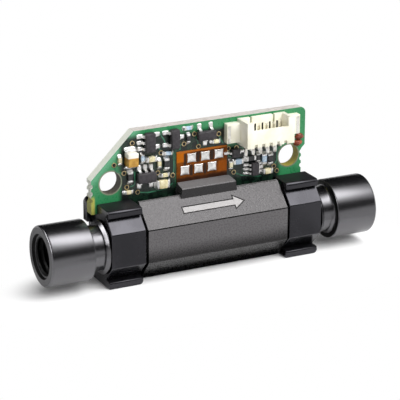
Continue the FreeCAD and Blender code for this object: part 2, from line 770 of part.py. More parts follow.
def make_package(label, centre, sizes, sides):
    """Tapered moulding with leads; sides maps a direction to the leads' steps of pitch from the middle."""
    x, z = centre
    width, length, thickness, shape, pitch = sizes
    across, up = (length, width) if "up" in sides else (width, length)
    wedge = doc.addObject("Part::Wedge", "Package")
    bind(wedge, X2min=f"-{across} / 2", X2max=f"{across} / 2", Z2min=f"-{up} / 2", Z2max=f"{up} / 2",
         Xmin=f"package_draft - {across} / 2", Xmax=f"{across} / 2 - package_draft",
         Zmin=f"package_draft - {up} / 2", Zmax=f"{up} / 2 - package_draft", Ymin="0", Ymax=thickness)
    place(wedge, str(x), f"board_front - package_standoff - {thickness}", str(z))
    keep(wedge, label)
    reach = f"({width} / 2 - package_draft * (lead_level - package_standoff) / {thickness})"
    for direction, steps in sides.items():
        for step in steps:
            spots = {
                "right": (f"{x} + {reach}", f"{z} + {step} * {pitch}"),
                "left": (f"{x} - {reach}", f"{z} + {step} * {pitch}"),
                "up": (f"{x} + {step} * {pitch}", f"{z} + {reach}"),
                "down": (f"{x} + {step} * {pitch}", f"{z} - {reach}"),
            }
            link = doc.addObject("App::Link", "PlacedLead")
            link.LinkedObject = shape
            link.LinkTransform = False
            link.Placement.Rotation = FreeCAD.Rotation(FreeCAD.Vector(0, 1, 0), lead_turns[direction])
            place(link, spots[direction][0], "board_front", spots[direction][1])
            leads.append(link)


# Packages with their centres on the board, across and up from the flow axis
make_package("upper_left_chip", (-9.07, 14.6), wide_package, {"left": (-1, 0, 1), "right": (-1, 1)})
make_package("upper_transistor", (-5.0, 14.6), narrow_package, {"left": (-1, 1), "right": (0,)})
make_package("lower_left_chip", (-9.65, 9.3), wide_package, {"up": (-1, 0, 1), "down": (-1, 1)})
make_package("middle_transistor", (0.22, 14.45), narrow_package, {"up": (-1, 1), "down": (0,)})
make_package("lower_right_chip", (8.42, 7.97), small_package, {"left": (-1, 0, 1), "right": (-1, 0, 1)})
make_package("rectifier_diode", (5.14, 10.95), diode_package, {"left": (0,), "right": (0,)})
group(leads, "package_leads")

# Capacitors and resistors: centre on the board and the way each one lies
end_caps = []


def chip_piece(centre, lies, length, width, thickness, cap):
    """Chip body with an end cap at each end, flat on the board."""
    x, z = centre
    face = f"board_front - {thickness}"
    inner = f"({length} - 2 * {cap})"
    for start in (f"- {length} / 2", f"+ {length} / 2 - {cap}"):
        if lies == "across":
            end_caps.append(block(cap, thickness, width, f"{x} {start}", face, f"{z} - {width} / 2"))
        else:
            end_caps.append(block(width, thickness, cap, f"{x} - {width} / 2", face, f"{z} {start}"))
    if lies == "across":
        return block(inner, thickness, width, f"{x} - {inner} / 2", face, f"{z} - {width} / 2")
    return block(width, thickness, inner, f"{x} - {width} / 2", face, f"{z} - {inner} / 2")


def chip_group(label, spots, thickness):
    sizes = {
        "tiny": ("tiny_chip_length", "tiny_chip_width", "tiny_chip_thickness", "tiny_cap_length"),
        "small": ("chip_length", "chip_width", thickness, "cap_length"),
        "large": ("large_chip_length", "large_chip_width", thickness, "cap_length"),
    }
    group([chip_piece(centre, lies, *sizes[size]) for centre, lies, size in spots], label)


chip_group("ceramic_capacitors", [
    ((-13.78, 12.4), "upright", "tiny"),
    ((-8.75, 11.95), "across", "small"),
    ((-12.4, 7.3), "across", "tiny"),
    ((-6.85, 7.78), "across", "large"),
    ((-6.5, 9.1), "across", "tiny"),
    ((-7.4, 11.0), "upright", "tiny"),
    ((1.95, 13.15), "across", "tiny"),
    ((4.5, 9.08), "upright", "tiny"),
    ((10.72, 7.25), "across", "small"),
], "capacitor_thickness")
chip_group("chip_resistors", [
    ((-12.1, 9.58), "upright", "small"),
    ((-6.2, 10.8), "upright", "small"),
    ((7.93, 9.63), "across", "small"),
    ((9.15, 9.6), "upright", "tiny"),
    ((11.25, 9.1), "upright", "small"),
    ((-2.62, 14.25), "upright", "tiny"),
], "resistor_thickness")
chip_group("thin_film_resistors", [
    ((-10.15, 12.2), "upright", "tiny"),
    ((-5.95, 12.42), "across", "tiny"),
    ((-2.65, 15.85), "across", "tiny"),
    ((10.2, 9.22), "upright", "small"),
    ((5.78, 9.42), "across", "small"),
], "resistor_thickness")

# Tantalum capacitor: moulded block with a folded terminal at each end
tantalum = (-12.12, 12.5)
tantalum_face = "board_front - tantalum_thickness"
keep(block("tantalum_width", "tantalum_thickness", "tantalum_length", f"{tantalum[0]} - tantalum_width / 2",
           tantalum_face, f"{tantalum[1]} - tantalum_length / 2"), "tantalum_capacitor")
for start in ("- tantalum_length / 2 - cap_length", "+ tantalum_length / 2"):
    end_caps.append(block("tantalum_width", "tantalum_thickness / 2", "cap_length",
                          f"{tantalum[0]} - tantalum_width / 2", "board_front - tantalum_thickness / 2",
                          f"{tantalum[1]} {start}"))
group(end_caps, "chip_end_caps")

# Lacquer drops: flat domes on the board's right edge
drops = []
for x, z in ((16.29, 11.9), (16.05, 10.92)):
    dome = doc.addObject("Part::Ellipsoid", "Dome")
    dome.Angle1 = 0
    bind(dome, Radius1="drop_thickness", Radius2="drop_length / 2", Radius3="drop_height / 2")
    dome.Placement.Rotation = FreeCAD.Rotation(FreeCAD.Vector(1, 0, 0), 90)
    place(dome, str(x), "board_front", str(z))
    drops.append(dome)
group(drops, "lacquer_drops")

doc.recompute()
for thing in doc.Objects:
    if "Invalid" in thing.State or "Error" in thing.State:
        raise RuntimeError(f"{thing.Label} did not compute: {thing.State}")
for node in nodes:
    if node.Shape.isNull() or not node.Shape.isValid():
        raise RuntimeError(f"{node.Label} has no valid shape")
os.makedirs("parts", exist_ok=True)
for node in nodes:
    node.Shape.exportStep(f"parts/{node.Label}.step")
    print(f"{node.Label}: {len(node.Shape.Solids)} solids, {node.Shape.Volume:.3f} mm3")
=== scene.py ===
import math
import bmesh
import bpy
from mathutils import Matrix, Vector


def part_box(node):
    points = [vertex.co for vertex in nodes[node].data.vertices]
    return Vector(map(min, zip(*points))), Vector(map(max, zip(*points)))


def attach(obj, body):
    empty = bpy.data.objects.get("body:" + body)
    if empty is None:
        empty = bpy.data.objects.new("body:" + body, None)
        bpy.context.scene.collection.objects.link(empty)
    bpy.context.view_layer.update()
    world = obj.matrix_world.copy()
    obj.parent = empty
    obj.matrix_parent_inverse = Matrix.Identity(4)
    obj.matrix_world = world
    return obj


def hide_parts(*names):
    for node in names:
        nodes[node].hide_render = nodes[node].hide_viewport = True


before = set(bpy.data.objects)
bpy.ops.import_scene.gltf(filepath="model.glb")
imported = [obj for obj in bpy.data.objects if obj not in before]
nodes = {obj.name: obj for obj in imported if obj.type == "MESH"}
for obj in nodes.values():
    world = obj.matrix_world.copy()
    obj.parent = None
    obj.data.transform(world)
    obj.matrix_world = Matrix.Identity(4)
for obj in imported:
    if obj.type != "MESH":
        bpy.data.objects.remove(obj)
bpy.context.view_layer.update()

mm = 0.001
mergeReach = 1e-6  # points of a CAD mesh that lie closer are one point
weldReach = 1e-7  # the same in a drawn mesh
axisHeight = (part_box("inlet_fitting")[0].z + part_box("inlet_fitting")[1].z) / 2  # flow axis above the feet
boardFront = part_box("circuit_board")[0].y
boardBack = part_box("circuit_board")[1].y

# Camera at the photograph's viewing angle, place and nearest sight in mm
camera = {"azimuth": -26.804, "elevation": 19.545, "roll": 0.287, "lens": 179.015, "sensor": 36.0,
          "place": (-127.341, -249.607, 109.81), "nearest": 5}


def addObject(name, data):
    item = bpy.data.objects.new(name, data)
    bpy.context.scene.collection.objects.link(item)
    return item


def addCamera():
    turn = math.radians(camera["azimuth"])
    rise = math.radians(camera["elevation"])
    roll = math.radians(camera["roll"])
    right = Vector((math.cos(turn), math.sin(turn), 0))
    back = Vector((math.sin(turn) * math.cos(rise), -math.cos(turn) * math.cos(rise), math.sin(rise)))
    up = back.cross(right)
    rolledRight = right * math.cos(roll) + up * math.sin(roll)
    rolledUp = up * math.cos(roll) - right * math.sin(roll)
    data = bpy.data.cameras.new("photoCamera")
    data.lens = camera["lens"]
    data.sensor_width = camera["sensor"]
    data.clip_start = camera["nearest"] * mm
    view = addObject("photoCamera", data)
    facing = Matrix((rolledRight, rolledUp, back)).transposed().to_4x4()
    view.matrix_world = Matrix.Translation(Vector(camera["place"]) * mm) @ facing
    bpy.context.scene.camera = view


addCamera()
print("camera placed")


# Shader helpers: most return the socket that carries their result
def newMaterial(name, colour, roughness, **sockets):
    mat = bpy.data.materials.new(name)
    mat.use_nodes = True
    shader = mat.node_tree.nodes["Principled BSDF"]
    shader.inputs["Base Color"].default_value = (*colour, 1)
    shader.inputs["Roughness"].default_value = roughness
    for label, value in sockets.items():
        shader.inputs[label].default_value = value
    return mat, mat.node_tree, shader


def addNode(tree, kind, **values):
    node = tree.nodes.new(kind)
    for name, value in values.items():
        setattr(node, name, value)
    return node


def feed(tree, socket, value):
    if isinstance(value, bpy.types.NodeSocket):
        tree.links.new(value, socket)
    else:
        socket.default_value = value


def coat(tree, shader, colour, roughness):
    feed(tree, shader.inputs["Base Color"], colour)
    feed(tree, shader.inputs["Roughness"], roughness)


def place(tree):
    return addNode(tree, "ShaderNodeTexCoord").outputs["Object"]


def axes(tree, vector):
    split = addNode(tree, "ShaderNodeSeparateXYZ")
    feed(tree, split.inputs[0], vector)
    return split.outputs


def facingAxes(tree):  # how far the surface faces along X, Y and Z
    return axes(tree, addNode(tree, "ShaderNodeNewGeometry").outputs["Normal"])


def sums(tree, operation, *values):
    node = addNode(tree, "ShaderNodeMath", operation=operation)
    for socket, value in zip(node.inputs, values):
        feed(tree, socket, value)
    return node.outputs[0]


def plus(tree, first, second):
    return sums(tree, "ADD", first, second)


def minus(tree, first, second):
    return sums(tree, "SUBTRACT", first, second)


def times(tree, first, second):
    return sums(tree, "MULTIPLY", first, second)


def most(tree, first, second):
    return sums(tree, "MAXIMUM", first, second)


def diagonal(tree, first, second):  # length across two legs at right angles
    return sums(tree, "SQRT", plus(tree, times(tree, first, first), times(tree, second, second)))


def stretch(tree, vector, scale, shift=(0, 0, 0)):
    node = addNode(tree, "ShaderNodeMapping")
    feed(tree, node.inputs["Vector"], vector)
    node.inputs["Scale"].default_value = scale
    node.inputs["Location"].default_value = shift
    return node.outputs[0]


def noise(tree, spot, scale, detail=2, dimensions="3D"):
    node = addNode(tree, "ShaderNodeTexNoise", noise_dimensions=dimensions)
    feed(tree, node.inputs["W" if dimensions == "1D" else "Vector"], spot)
    node.inputs["Scale"].default_value = scale
    node.inputs["Detail"].default_value = detail
    return node.outputs["Fac"]


def ramp(tree, value, low, high, start=0.0, end=1.0):
    node = addNode(tree, "ShaderNodeMapRange", interpolation_type="SMOOTHSTEP")
    feed(tree, node.inputs["Value"], value)
    for label, number in (("From Min", low), ("From Max", high), ("To Min", start), ("To Max", end)):
        node.inputs[label].default_value = number
    return node.outputs["Result"]


def above(tree, value, edge, soft):  # 0 under an edge, 1 over it
    return ramp(tree, value, edge - soft, edge + soft)


def below(tree, value, edge, soft):
    return ramp(tree, value, edge - soft, edge + soft, 1, 0)


def inside(tree, value, low, high, soft):
    return times(tree, above(tree, value, low, soft), below(tree, value, high, soft))


def patches(tree, x, z, fields, soft):  # 1 inside any of these rectangles, in mm from the flow axis
    found = 0.0
    for left, right, low, high in fields:
        across = inside(tree, x, left * mm, right * mm, soft * mm)
        up = inside(tree, z, low * mm + axisHeight, high * mm + axisHeight, soft * mm)
        found = most(tree, found, times(tree, across, up))
    return found


def mixed(tree, share, first, second):
    node = addNode(tree, "ShaderNodeMix", data_type="RGBA")
    feed(tree, node.inputs["Factor"], share)
    for label, colour in (("A", first), ("B", second)):
        socket = next(item for item in node.inputs if item.name == label and item.type == "RGBA")
        feed(tree, socket, colour if isinstance(colour, bpy.types.NodeSocket) else (*colour, 1))
    return next(item for item in node.outputs if item.type == "RGBA")


def bump(tree, shader, height, strength, depth):  # depth in mm
    node = addNode(tree, "ShaderNodeBump")
    feed(tree, node.inputs["Height"], height)
    node.inputs["Strength"].default_value = strength
    node.inputs["Distance"].default_value = depth * mm
    tree.links.new(node.outputs["Normal"], shader.inputs["Normal"])


def dress(mat, *names):
    for name in names:
        nodes[name].data.materials.clear()
        nodes[name].data.materials.append(mat)


# Mesh helpers
def smoothed(mesh, sharp):  # smooth shading that stops at edges that turn by more than this
    mesh.shade_smooth()
    mesh.set_sharp_from_angle(angle=math.radians(sharp))
    return mesh


def addPiece(name, mesh, replaced=(), sharp=None):
    if sharp is not None:
        smoothed(mesh, sharp)
    piece = addObject(name, mesh)
    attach(piece, "root")
    if replaced:
        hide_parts(*replaced)


def plainMesh(name, shape):
    mesh = bpy.data.meshes.new(name)
    shape.to_mesh(mesh)
    shape.free()
    return mesh


def closedMesh(name, verts, faces, mat=None):
    shape = bmesh.new()
    points = [shape.verts.new(vert) for vert in verts]
    for face in faces:
        shape.faces.new([points[index] for index in face])
    bmesh.ops.remove_doubles(shape, verts=shape.verts, dist=weldReach)
    bmesh.ops.recalc_face_normals(shape, faces=shape.faces)
    mesh = plainMesh(name, shape)
    if mat:
        mesh.materials.append(mat)
    return mesh


def ringFaces(one, two, count):  # quads between two rings of points, named by their first points
    steps = [(step, (step + 1) % count) for step in range(count)]
    return [(one + step, one + beside, two + beside, two + step) for step, beside in steps]


def circle(count):
    return [2 * math.pi * step / count for step in range(count)]


def boxOf(points):
    low = Vector([min(point[axis] for point in points) for axis in range(3)])
    high = Vector([max(point[axis] for point in points) for axis in range(3)])
    return low, high


def middle(points):
    low, high = boxOf(points)
    return (low + high) / 2


def mergedShape(name):  # copy of a node's mesh with its doubles merged
    shape = bmesh.new()
    shape.from_mesh(nodes[name].data)
    bmesh.ops.remove_doubles(shape, verts=shape.verts, dist=mergeReach)
    return shape


def solidsOf(name):  # corner points of each separate solid in a node
    shape = mergedShape(name)
    waiting = set(shape.verts)
    found = []
    while waiting:
        reached = [waiting.pop()]
        points = []
        while reached:
            vert = reached.pop()
            points.append(vert.co.copy())
            for link in vert.link_edges:
                other = link.other_vert(vert)
                if other in waiting:
                    waiting.remove(other)
                    reached.append(other)
        found.append(points)
    shape.free()
    return sorted(found, key=lambda points: boxOf(points)[0][:])


# Node trees: named inputs at the start, a plain mesh with its finish at the end
def startTree(name, **inputs):
    tree = bpy.data.node_groups.new(name, "GeometryNodeTree")
    for label, kind in inputs.items():
        tree.interface.new_socket(label, in_out="INPUT", socket_type="NodeSocket" + kind)
    tree.interface.new_socket("Mesh", in_out="OUTPUT", socket_type="NodeSocketGeometry")
    return tree, addNode(tree, "NodeGroupInput").outputs


def endTree(tree, shape, finish):
    real = addNode(tree, "GeometryNodeRealizeInstances")
    finished = addNode(tree, "GeometryNodeSetMaterial")
    feed(tree, real.inputs[0], shape)
    feed(tree, finished.inputs["Geometry"], real.outputs[0])
    feed(tree, finished.inputs["Material"], finish)
    feed(tree, addNode(tree, "NodeGroupOutput").inputs[0], finished.outputs[0])
    return tree


def attribute(tree, name):
    node = addNode(tree, "GeometryNodeInputNamedAttribute", data_type="FLOAT_VECTOR")
    node.inputs["Name"].default_value = name
    return node.outputs["Attribute"]


def copiesTree():  # seats a shape on every point of a cloud, with its own size and turn
    tree, given = startTree("seatedCopies", Cloud="Geometry", Part="Object", Finish="Material")
    part = addNode(tree, "GeometryNodeObjectInfo")
    euler = addNode(tree, "FunctionNodeEulerToRotation")
    copies = addNode(tree, "GeometryNodeInstanceOnPoints")
    feed(tree, part.inputs["Object"], given["Part"])
    feed(tree, euler.inputs[0], attribute(tree, "turn"))
    feed(tree, copies.inputs["Points"], given["Cloud"])
    feed(tree, copies.inputs["Instance"], part.outputs["Geometry"])
    feed(tree, copies.inputs["Scale"], attribute(tree, "size"))
    feed(tree, copies.inputs["Rotation"], euler.outputs[0])
    return endTree(tree, copies.outputs[0], given["Finish"])


def tracksTree():  # lays flat tracks along the edges of a drawn route
    tree, given = startTree("flatTracks", Route="Geometry", Width="Float", Rise="Float", Corner="Float",
                            CornerSteps="Int", Face="Vector", Finish="Material")
    curve = addNode(tree, "GeometryNodeMeshToCurve")
    level = addNode(tree, "GeometryNodeSetCurveNormal", mode="Z_UP")
    rounded = addNode(tree, "GeometryNodeFilletCurve", mode="POLY")
    section = addNode(tree, "GeometryNodeCurvePrimitiveQuadrilateral")
    swept = addNode(tree, "GeometryNodeCurveToMesh")
    swept.inputs["Fill Caps"].default_value = True
    stood = addNode(tree, "GeometryNodeTransform")
    stood.inputs["Rotation"].default_value = (math.radians(90), 0, 0)
    feed(tree, curve.inputs["Mesh"], given["Route"])
    feed(tree, level.inputs["Curve"], curve.outputs[0])
    feed(tree, rounded.inputs["Curve"], level.outputs[0])
    feed(tree, rounded.inputs["Radius"], given["Corner"])
    feed(tree, rounded.inputs["Count"], given["CornerSteps"])
    feed(tree, section.inputs["Width"], given["Width"])
    feed(tree, section.inputs["Height"], given["Rise"])
    feed(tree, swept.inputs["Curve"], rounded.outputs[0])
    feed(tree, swept.inputs["Profile Curve"], section.outputs[0])
    feed(tree, stood.inputs["Geometry"], swept.outputs[0])
    feed(tree, stood.inputs["Translation"], given["Face"])
    return endTree(tree, stood.outputs[0], given["Finish"])


seatedCopies = copiesTree()
flatTracks = tracksTree()


def grown(name, mesh, tree, **settings):  # runs a node tree on a mesh and keeps the plain result
    seed = addObject(name + "Seed", mesh)
    change = seed.modifiers.new("grow", "NODES")
    change.node_group = tree
    for item in tree.interface.items_tree:
        if item.in_out == "INPUT" and item.name in settings:
            change[item.identifier] = settings[item.name]
    bpy.context.view_layer.update()
    result = bpy.data.meshes.new_from_object(seed.evaluated_get(bpy.context.evaluated_depsgraph_get()))
    result.name = name
    bpy.data.objects.remove(seed)
    return result


def seated(name, shape, spots, mat):  # each spot holds a place, a size and a turn about Y
    cloud = bpy.data.meshes.new(name + "Cloud")
    cloud.from_pydata([spot[0] for spot in spots], [], [])
    sizes = cloud.attributes.new("size", "FLOAT_VECTOR", "POINT")
    turns = cloud.attributes.new("turn", "FLOAT_VECTOR", "POINT")
    for index, (_, size, turn) in enumerate(spots):
        sizes.data[index].vector = size
        turns.data[index].vector = (0, turn, 0)
    part = addObject(name + "Part", shape)
    mesh = grown(name, cloud, seatedCopies, Part=part, Finish=mat)
    bpy.data.objects.remove(part)
    return mesh


# Rounded edges; angles in degrees
softening = {"flatTurn": 2, "segments": 2, "profile": 0.5, "blockSharp": 50}


def bevelEdges(shape, edges, width):
    bmesh.ops.bevel(shape, geom=edges, offset=width, segments=softening["segments"],
                    profile=softening["profile"], affect="EDGES")


def softenedMesh(name, shape, width, turn):  # bevels the edges that turn by more than this
    flat = math.radians(softening["flatTurn"])
    least = math.radians(turn)
    bmesh.ops.dissolve_limit(shape, angle_limit=flat, verts=shape.verts[:], edges=shape.edges[:])
    sharp = [edge for edge in shape.edges if edge.is_manifold and edge.calc_face_angle(0) > least]
    bevelEdges(shape, sharp, width * mm)
    bmesh.ops.triangulate(shape, faces=shape.faces[:])
    mesh = plainMesh(name, shape)
    mesh.materials.clear()
    return mesh


def weighted(mesh, sharp):  # flat faces keep their own normals beside small rounds
    part = addObject(mesh.name + "Part", smoothed(mesh, sharp))
    part.modifiers.new("weighted", "WEIGHTED_NORMAL").keep_sharp = True
    graph = bpy.context.evaluated_depsgraph_get()
    result = bpy.data.meshes.new_from_object(part.evaluated_get(graph), preserve_all_data_layers=True,
                                             depsgraph=graph)
    bpy.data.objects.remove(part)
    return result


# Unit shapes that are seated on the board: X runs outwards, -Y rises off the board
def roundedBlock(bevel):
    shape = bmesh.new()
    bmesh.ops.create_cube(shape, size=1)
    bevelEdges(shape, shape.edges[:], bevel)
    bmesh.ops.recalc_face_normals(shape, faces=shape.faces)
    return smoothed(plainMesh("roundedBlock", shape), softening["blockSharp"])


def heightField(name, steps, outline, height):  # closed mound over a square grid of -1..1
    verts, faces = [], []
    count = steps + 1
    for level in (1, 0):
        for row in range(count):
            for column in range(count):
                u, v = 2 * column / steps - 1, 2 * row / steps - 1
                x, z = outline(u, v)
                verts.append((x / 2, -level * height(u, v), z / 2))
    for row in range(steps):
        for column in range(steps):
            corner = row * count + column
            quad = (corner, corner + 1, corner + count + 1, corner + count)
            faces.append(quad)
            faces.append(tuple(count * count + index for index in reversed(quad)))
    rim = list(range(steps)) + [row * count + steps for row in range(steps)]
    rim += [steps * count + steps - column for column in range(steps)]
    rim += [(steps - row) * count for row in range(steps)]
    for index, first in enumerate(rim):
        second = rim[(index + 1) % len(rim)]
        faces.append((first, first + count * count, second + count * count, second))
    mesh = closedMesh(name, verts, faces)
    mesh.shade_smooth()
    return mesh


# Solder shapes, as shares of their own size
mound = {"steps": 8, "squeeze": 0.12, "foot": 0.12, "flatness": 4, "fullness": 0.6}
fillet = {"steps": 8, "waist": 0.18, "taper": 0.1, "foot": 0.08, "hollow": 1.7, "drop": 0.25, "flatness": 4}
pillow = {"steps": 14, "waist": 0.1, "rim": 0.35, "flatness": 3, "corner": 0.15}


def moundShape():  # pool of solder round a lead's foot
    def outline(u, v):
        squeeze = 1 - mound["squeeze"] * u * u * v * v
        return u * squeeze, v * squeeze

    def height(u, v):
        crown = max(0, (1 - u ** mound["flatness"]) * (1 - v ** mound["flatness"])) ** mound["fullness"]
        return mound["foot"] + (1 - mound["foot"]) * crown
    return heightField("mound", mound["steps"], outline, height)


def filletShape():  # solder that climbs a chip's end, high at its inner side
    def outline(u, v):
        return (u + 1) * (1 - fillet["waist"] * v * v), v * (1 - fillet["taper"] * max(0, u))

    def height(u, v):
        climb = ((1 - u) / 2) ** fillet["hollow"] * (1 - fillet["drop"] * v ** fillet["flatness"])
        return fillet["foot"] + (1 - fillet["foot"]) * climb
    return heightField("fillet", fillet["steps"], outline, height)


def pillowShape():  # solder pillow drawn out towards its corners
    def outline(u, v):
        return u * (1 - pillow["waist"] * (1 - v * v)), v * (1 - pillow["waist"] * (1 - u * u))

    def height(u, v):
        crown = 1 - max(abs(u), abs(v)) ** pillow["flatness"]
        return pillow["rim"] + (1 - pillow["rim"]) * crown + pillow["corner"] * (u * u * v * v)
    return heightField("pillow", pillow["steps"], outline, height)


# Fittings: turned black sleeves with a threaded port, sizes in mm
fitting = {"segments": 144, "half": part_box("outlet_fitting")[1].x / mm, "sleeveLength": 6.8,
           "sleeveRadius": 4.6, "rimRound": 0.4, "innerRound": 0.15, "roundSteps": 6, "neckRadius": 3.4,
           "neckFillet": 0.55, "collarSeat": 17.45, "collarWidth": 0.72, "collarRadius": 4.1,
           "collarBevel": 0.4, "gapWidth": 0.2, "gapRadius": 3.7, "stemRadius": 2.4, "seatRadius": 1.62,
           "seatDepth": 3.0, "passageRadius": 0.6, "mouth": ((0.0, 3.375), (0.42, 3.2), (0.47, 2.95)),
           "minorRadius": 2.75, "majorRadius": 3.16, "pitch": 0.907, "rootFlat": 0.14, "flank": 0.72,
           "threadStart": 0.5, "portDepth": 8.0, "runOut": 1.6, "stepsPerPitch": 10, "slack": 0.01,
           "sharp": 28}
turning = {"plain": (0.003, 0.003, 0.003), "dark": (0.0018, 0.0018, 0.002), "light": (0.004, 0.004, 0.0045),
           "tint": (0.90, 0.885, 0.935, 1.0), "marks": 1900, "cloud": 700, "cloudShare": 0.5,
           "worn": (0.45, 1.05), "relief": 0.003, "depth": 0.02}
cutting = {"plain": (0.003, 0.003, 0.003), "dark": (0.002, 0.002, 0.002), "light": (0.006, 0.006, 0.006),
           "cloud": 1500, "range": (0.3, 0.7), "rough": (0.45, 0.7), "level": 0.12}


def fittingFinish(name, index, low, high):  # fine turning marks round the flow axis
    sockets = {"IOR": index, "Specular Tint": turning["tint"]}
    mat, tree, shader = newMaterial(name, turning["plain"], low, **sockets)
    spot = place(tree)
    x, y, z = axes(tree, spot)
    along = plus(tree, x, diagonal(tree, y, minus(tree, z, axisHeight)))
    marks = noise(tree, along, turning["marks"], detail=3, dimensions="1D")
    cloud = noise(tree, spot, turning["cloud"], detail=3)
    worn = plus(tree, marks, times(tree, cloud, turning["cloudShare"]))
    tone = mixed(tree, cloud, turning["dark"], turning["light"])
    coat(tree, shader, tone, ramp(tree, worn, *turning["worn"], low, high))
    bump(tree, shader, marks, turning["relief"], turning["depth"])
    return mat


def cutFinish():  # dull and dark, as the thread is cut
    level = {"Specular IOR Level": cutting["level"]}
    mat, tree, shader = newMaterial("cutThread", cutting["plain"], cutting["rough"][1], **level)
    cloud = noise(tree, place(tree), cutting["cloud"], detail=3)
    tone = mixed(tree, cloud, cutting["dark"], cutting["light"])
    coat(tree, shader, tone, ramp(tree, cloud, *cutting["range"], *cutting["rough"]))
    return mat


def clamped(value):
    return min(1, max(0, value))


def threadRadius(depth, turn):  # bore radius at a depth from the face, on a right-hand helix
    share = (depth / fitting["pitch"] - turn / (2 * math.pi)) % 1
    tooth = clamped((abs(2 * share - 1) - fitting["rootFlat"]) / fitting["flank"])
    tooth *= clamped((fitting["portDepth"] - depth) / fitting["runOut"])
    return fitting["minorRadius"] + (fitting["majorRadius"] - fitting["minorRadius"]) * tooth


def quarterArc(x, radius, size, first, last):  # section points of a turned round about its centre, in degrees
    count = fitting["roundSteps"]
    turns = [math.radians(first + (last - first) * step / count) for step in range(count + 1)]
    return [(x + size * math.cos(turn), radius + size * math.sin(turn)) for turn in turns]


def outerSection(near, far):  # from the seal's seat over collar, neck and sleeve into the port's mouth
    seat, collar, neck = fitting["collarSeat"], fitting["collarRadius"], fitting["neckRadius"]
    sleeve, radius = far - fitting["sleeveLength"], fitting["sleeveRadius"]
    gapEnd = seat + fitting["gapWidth"]
    collarEnd = seat + fitting["collarWidth"]
    hollow, inner, rim = fitting["neckFillet"], fitting["innerRound"], fitting["rimRound"]
    section = [(near, fitting["seatRadius"]), (near, fitting["stemRadius"]), (seat, fitting["stemRadius"]),
               (seat, fitting["gapRadius"]), (gapEnd, fitting["gapRadius"]), (gapEnd, collar),
               (collarEnd - fitting["collarBevel"], collar), (collarEnd, collar - fitting["collarBevel"]),
               (collarEnd, neck)]
    section += quarterArc(sleeve - hollow, neck + hollow, hollow, -90, 0)
    section += quarterArc(sleeve + inner, radius - inner, inner, 180, 90)
    section += quarterArc(far - rim, radius - rim, rim, 90, 0)
    return section + [(far - depth, edge) for depth, edge in fitting["mouth"]]


def threadRings(far, turns):
    threaded = fitting["portDepth"] - fitting["threadStart"]
    steps = int(threaded / fitting["pitch"] * fitting["stepsPerPitch"])
    depths = [fitting["threadStart"] + threaded * step / steps for step in range(steps)]
    return [[(far - depth, threadRadius(depth, turn)) for turn in turns] for depth in depths]


def shareFinishes(mesh, far):  # 0 turned, 1 left as cut, 2 faced
    (_, lip), (floorTop, _), (floorEnd, _) = fitting["mouth"]
    slack = fitting["slack"]
    gapEnd = fitting["collarSeat"] + fitting["gapWidth"]
    for poly in mesh.polygons:
        depth = far - abs(poly.center.x) / mm
        radius = math.hypot(poly.center.y, poly.center.z - axisHeight) / mm
        if radius < lip and depth < fitting["portDepth"] + slack:
            poly.material_index = 2 if floorTop < depth < floorEnd else 1  # floor of the mouth is faced
        elif depth < slack:
            poly.material_index = 2
        elif abs(depth - fitting["sleeveLength"]) < slack or far - depth < gapEnd - slack:
            poly.material_index = 1  # inner shoulder and the gap at the clip


def addFitting(node, side, mats):
    near = min(abs(corner.x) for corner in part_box(node)) / mm
    far = fitting["half"]
    bottom, seatEnd = far - fitting["portDepth"], near + fitting["seatDepth"]
    passage = [(bottom, fitting["minorRadius"]), (bottom, fitting["passageRadius"]),
               (seatEnd, fitting["passageRadius"]), (seatEnd, fitting["seatRadius"])]
    count = fitting["segments"]
    turns = circle(count)
    rings = [[spot] * count for spot in outerSection(near, far)]
    rings += threadRings(far, turns)
    rings += [[spot] * count for spot in passage]
    verts = [(side * x * mm, radius * math.sin(turn) * mm, radius * math.cos(turn) * mm + axisHeight)
             for ring in rings for (x, radius), turn in zip(ring, turns)]
    faces = []
    for ring in range(len(rings)):
        faces += ringFaces(ring * count, (ring + 1) % len(rings) * count, count)
    mesh = closedMesh(node + "Turned", verts, faces)
    for mat in mats:
        mesh.materials.append(mat)
    shareFinishes(mesh, far)
    addPiece(node + "Turned", mesh, [node], sharp=fitting["sharp"])


fittingMats = (fittingFinish("turnedBlack", index=2.2, low=0.255, high=0.268), cutFinish(),
               fittingFinish("facedBlack", index=1.72, low=0.4, high=0.5))
addFitting("inlet_fitting", -1, fittingMats)
addFitting("outlet_fitting", 1, fittingMats)
print("fittings turned")

# Moulded clips: glossy black with faint flow marks, sizes in mm
# Each round has its corner, the reach of its CAD round and its growth; edge softens the end outlines
clip = {"rounds": ((-2.76, 6.15, 0.2, 2.5), (-3.0, -4.67, 0.2, 1.8)), "slack": 0.005, "edge": 0.12,
        "turn": 60, "sharp": 25, "index": 1.54, "plain": (0.004, 0.004, 0.005),
        "dark": (0.0025, 0.0025, 0.003), "light": (0.006, 0.006, 0.007), "tint": (0.92, 0.90, 1.0, 1.0),
        "cloud": 350, "range": (0.3, 0.75), "satin": (0.2, 0.3), "topFacing": (0.9, 0.99), "topDull": 0.26,
        "grain": 5200, "relief": 0.06, "depth": 0.02}


def clipFinish():
    sockets = {"IOR": clip["index"], "Specular Tint": clip["tint"]}
    mat, tree, shader = newMaterial("mouldedBlack", clip["plain"], clip["satin"][0], **sockets)
    spot = place(tree)
    cloud = noise(tree, spot, clip["cloud"], detail=4)
    upward = ramp(tree, facingAxes(tree)[2], *clip["topFacing"], 0, clip["topDull"])  # flange tops are duller
    satin = ramp(tree, cloud, *clip["range"], *clip["satin"])
    coat(tree, shader, mixed(tree, cloud, clip["dark"], clip["light"]), plus(tree, satin, upward))
    bump(tree, shader, noise(tree, spot, clip["grain"]), clip["relief"], clip["depth"])
    return mat


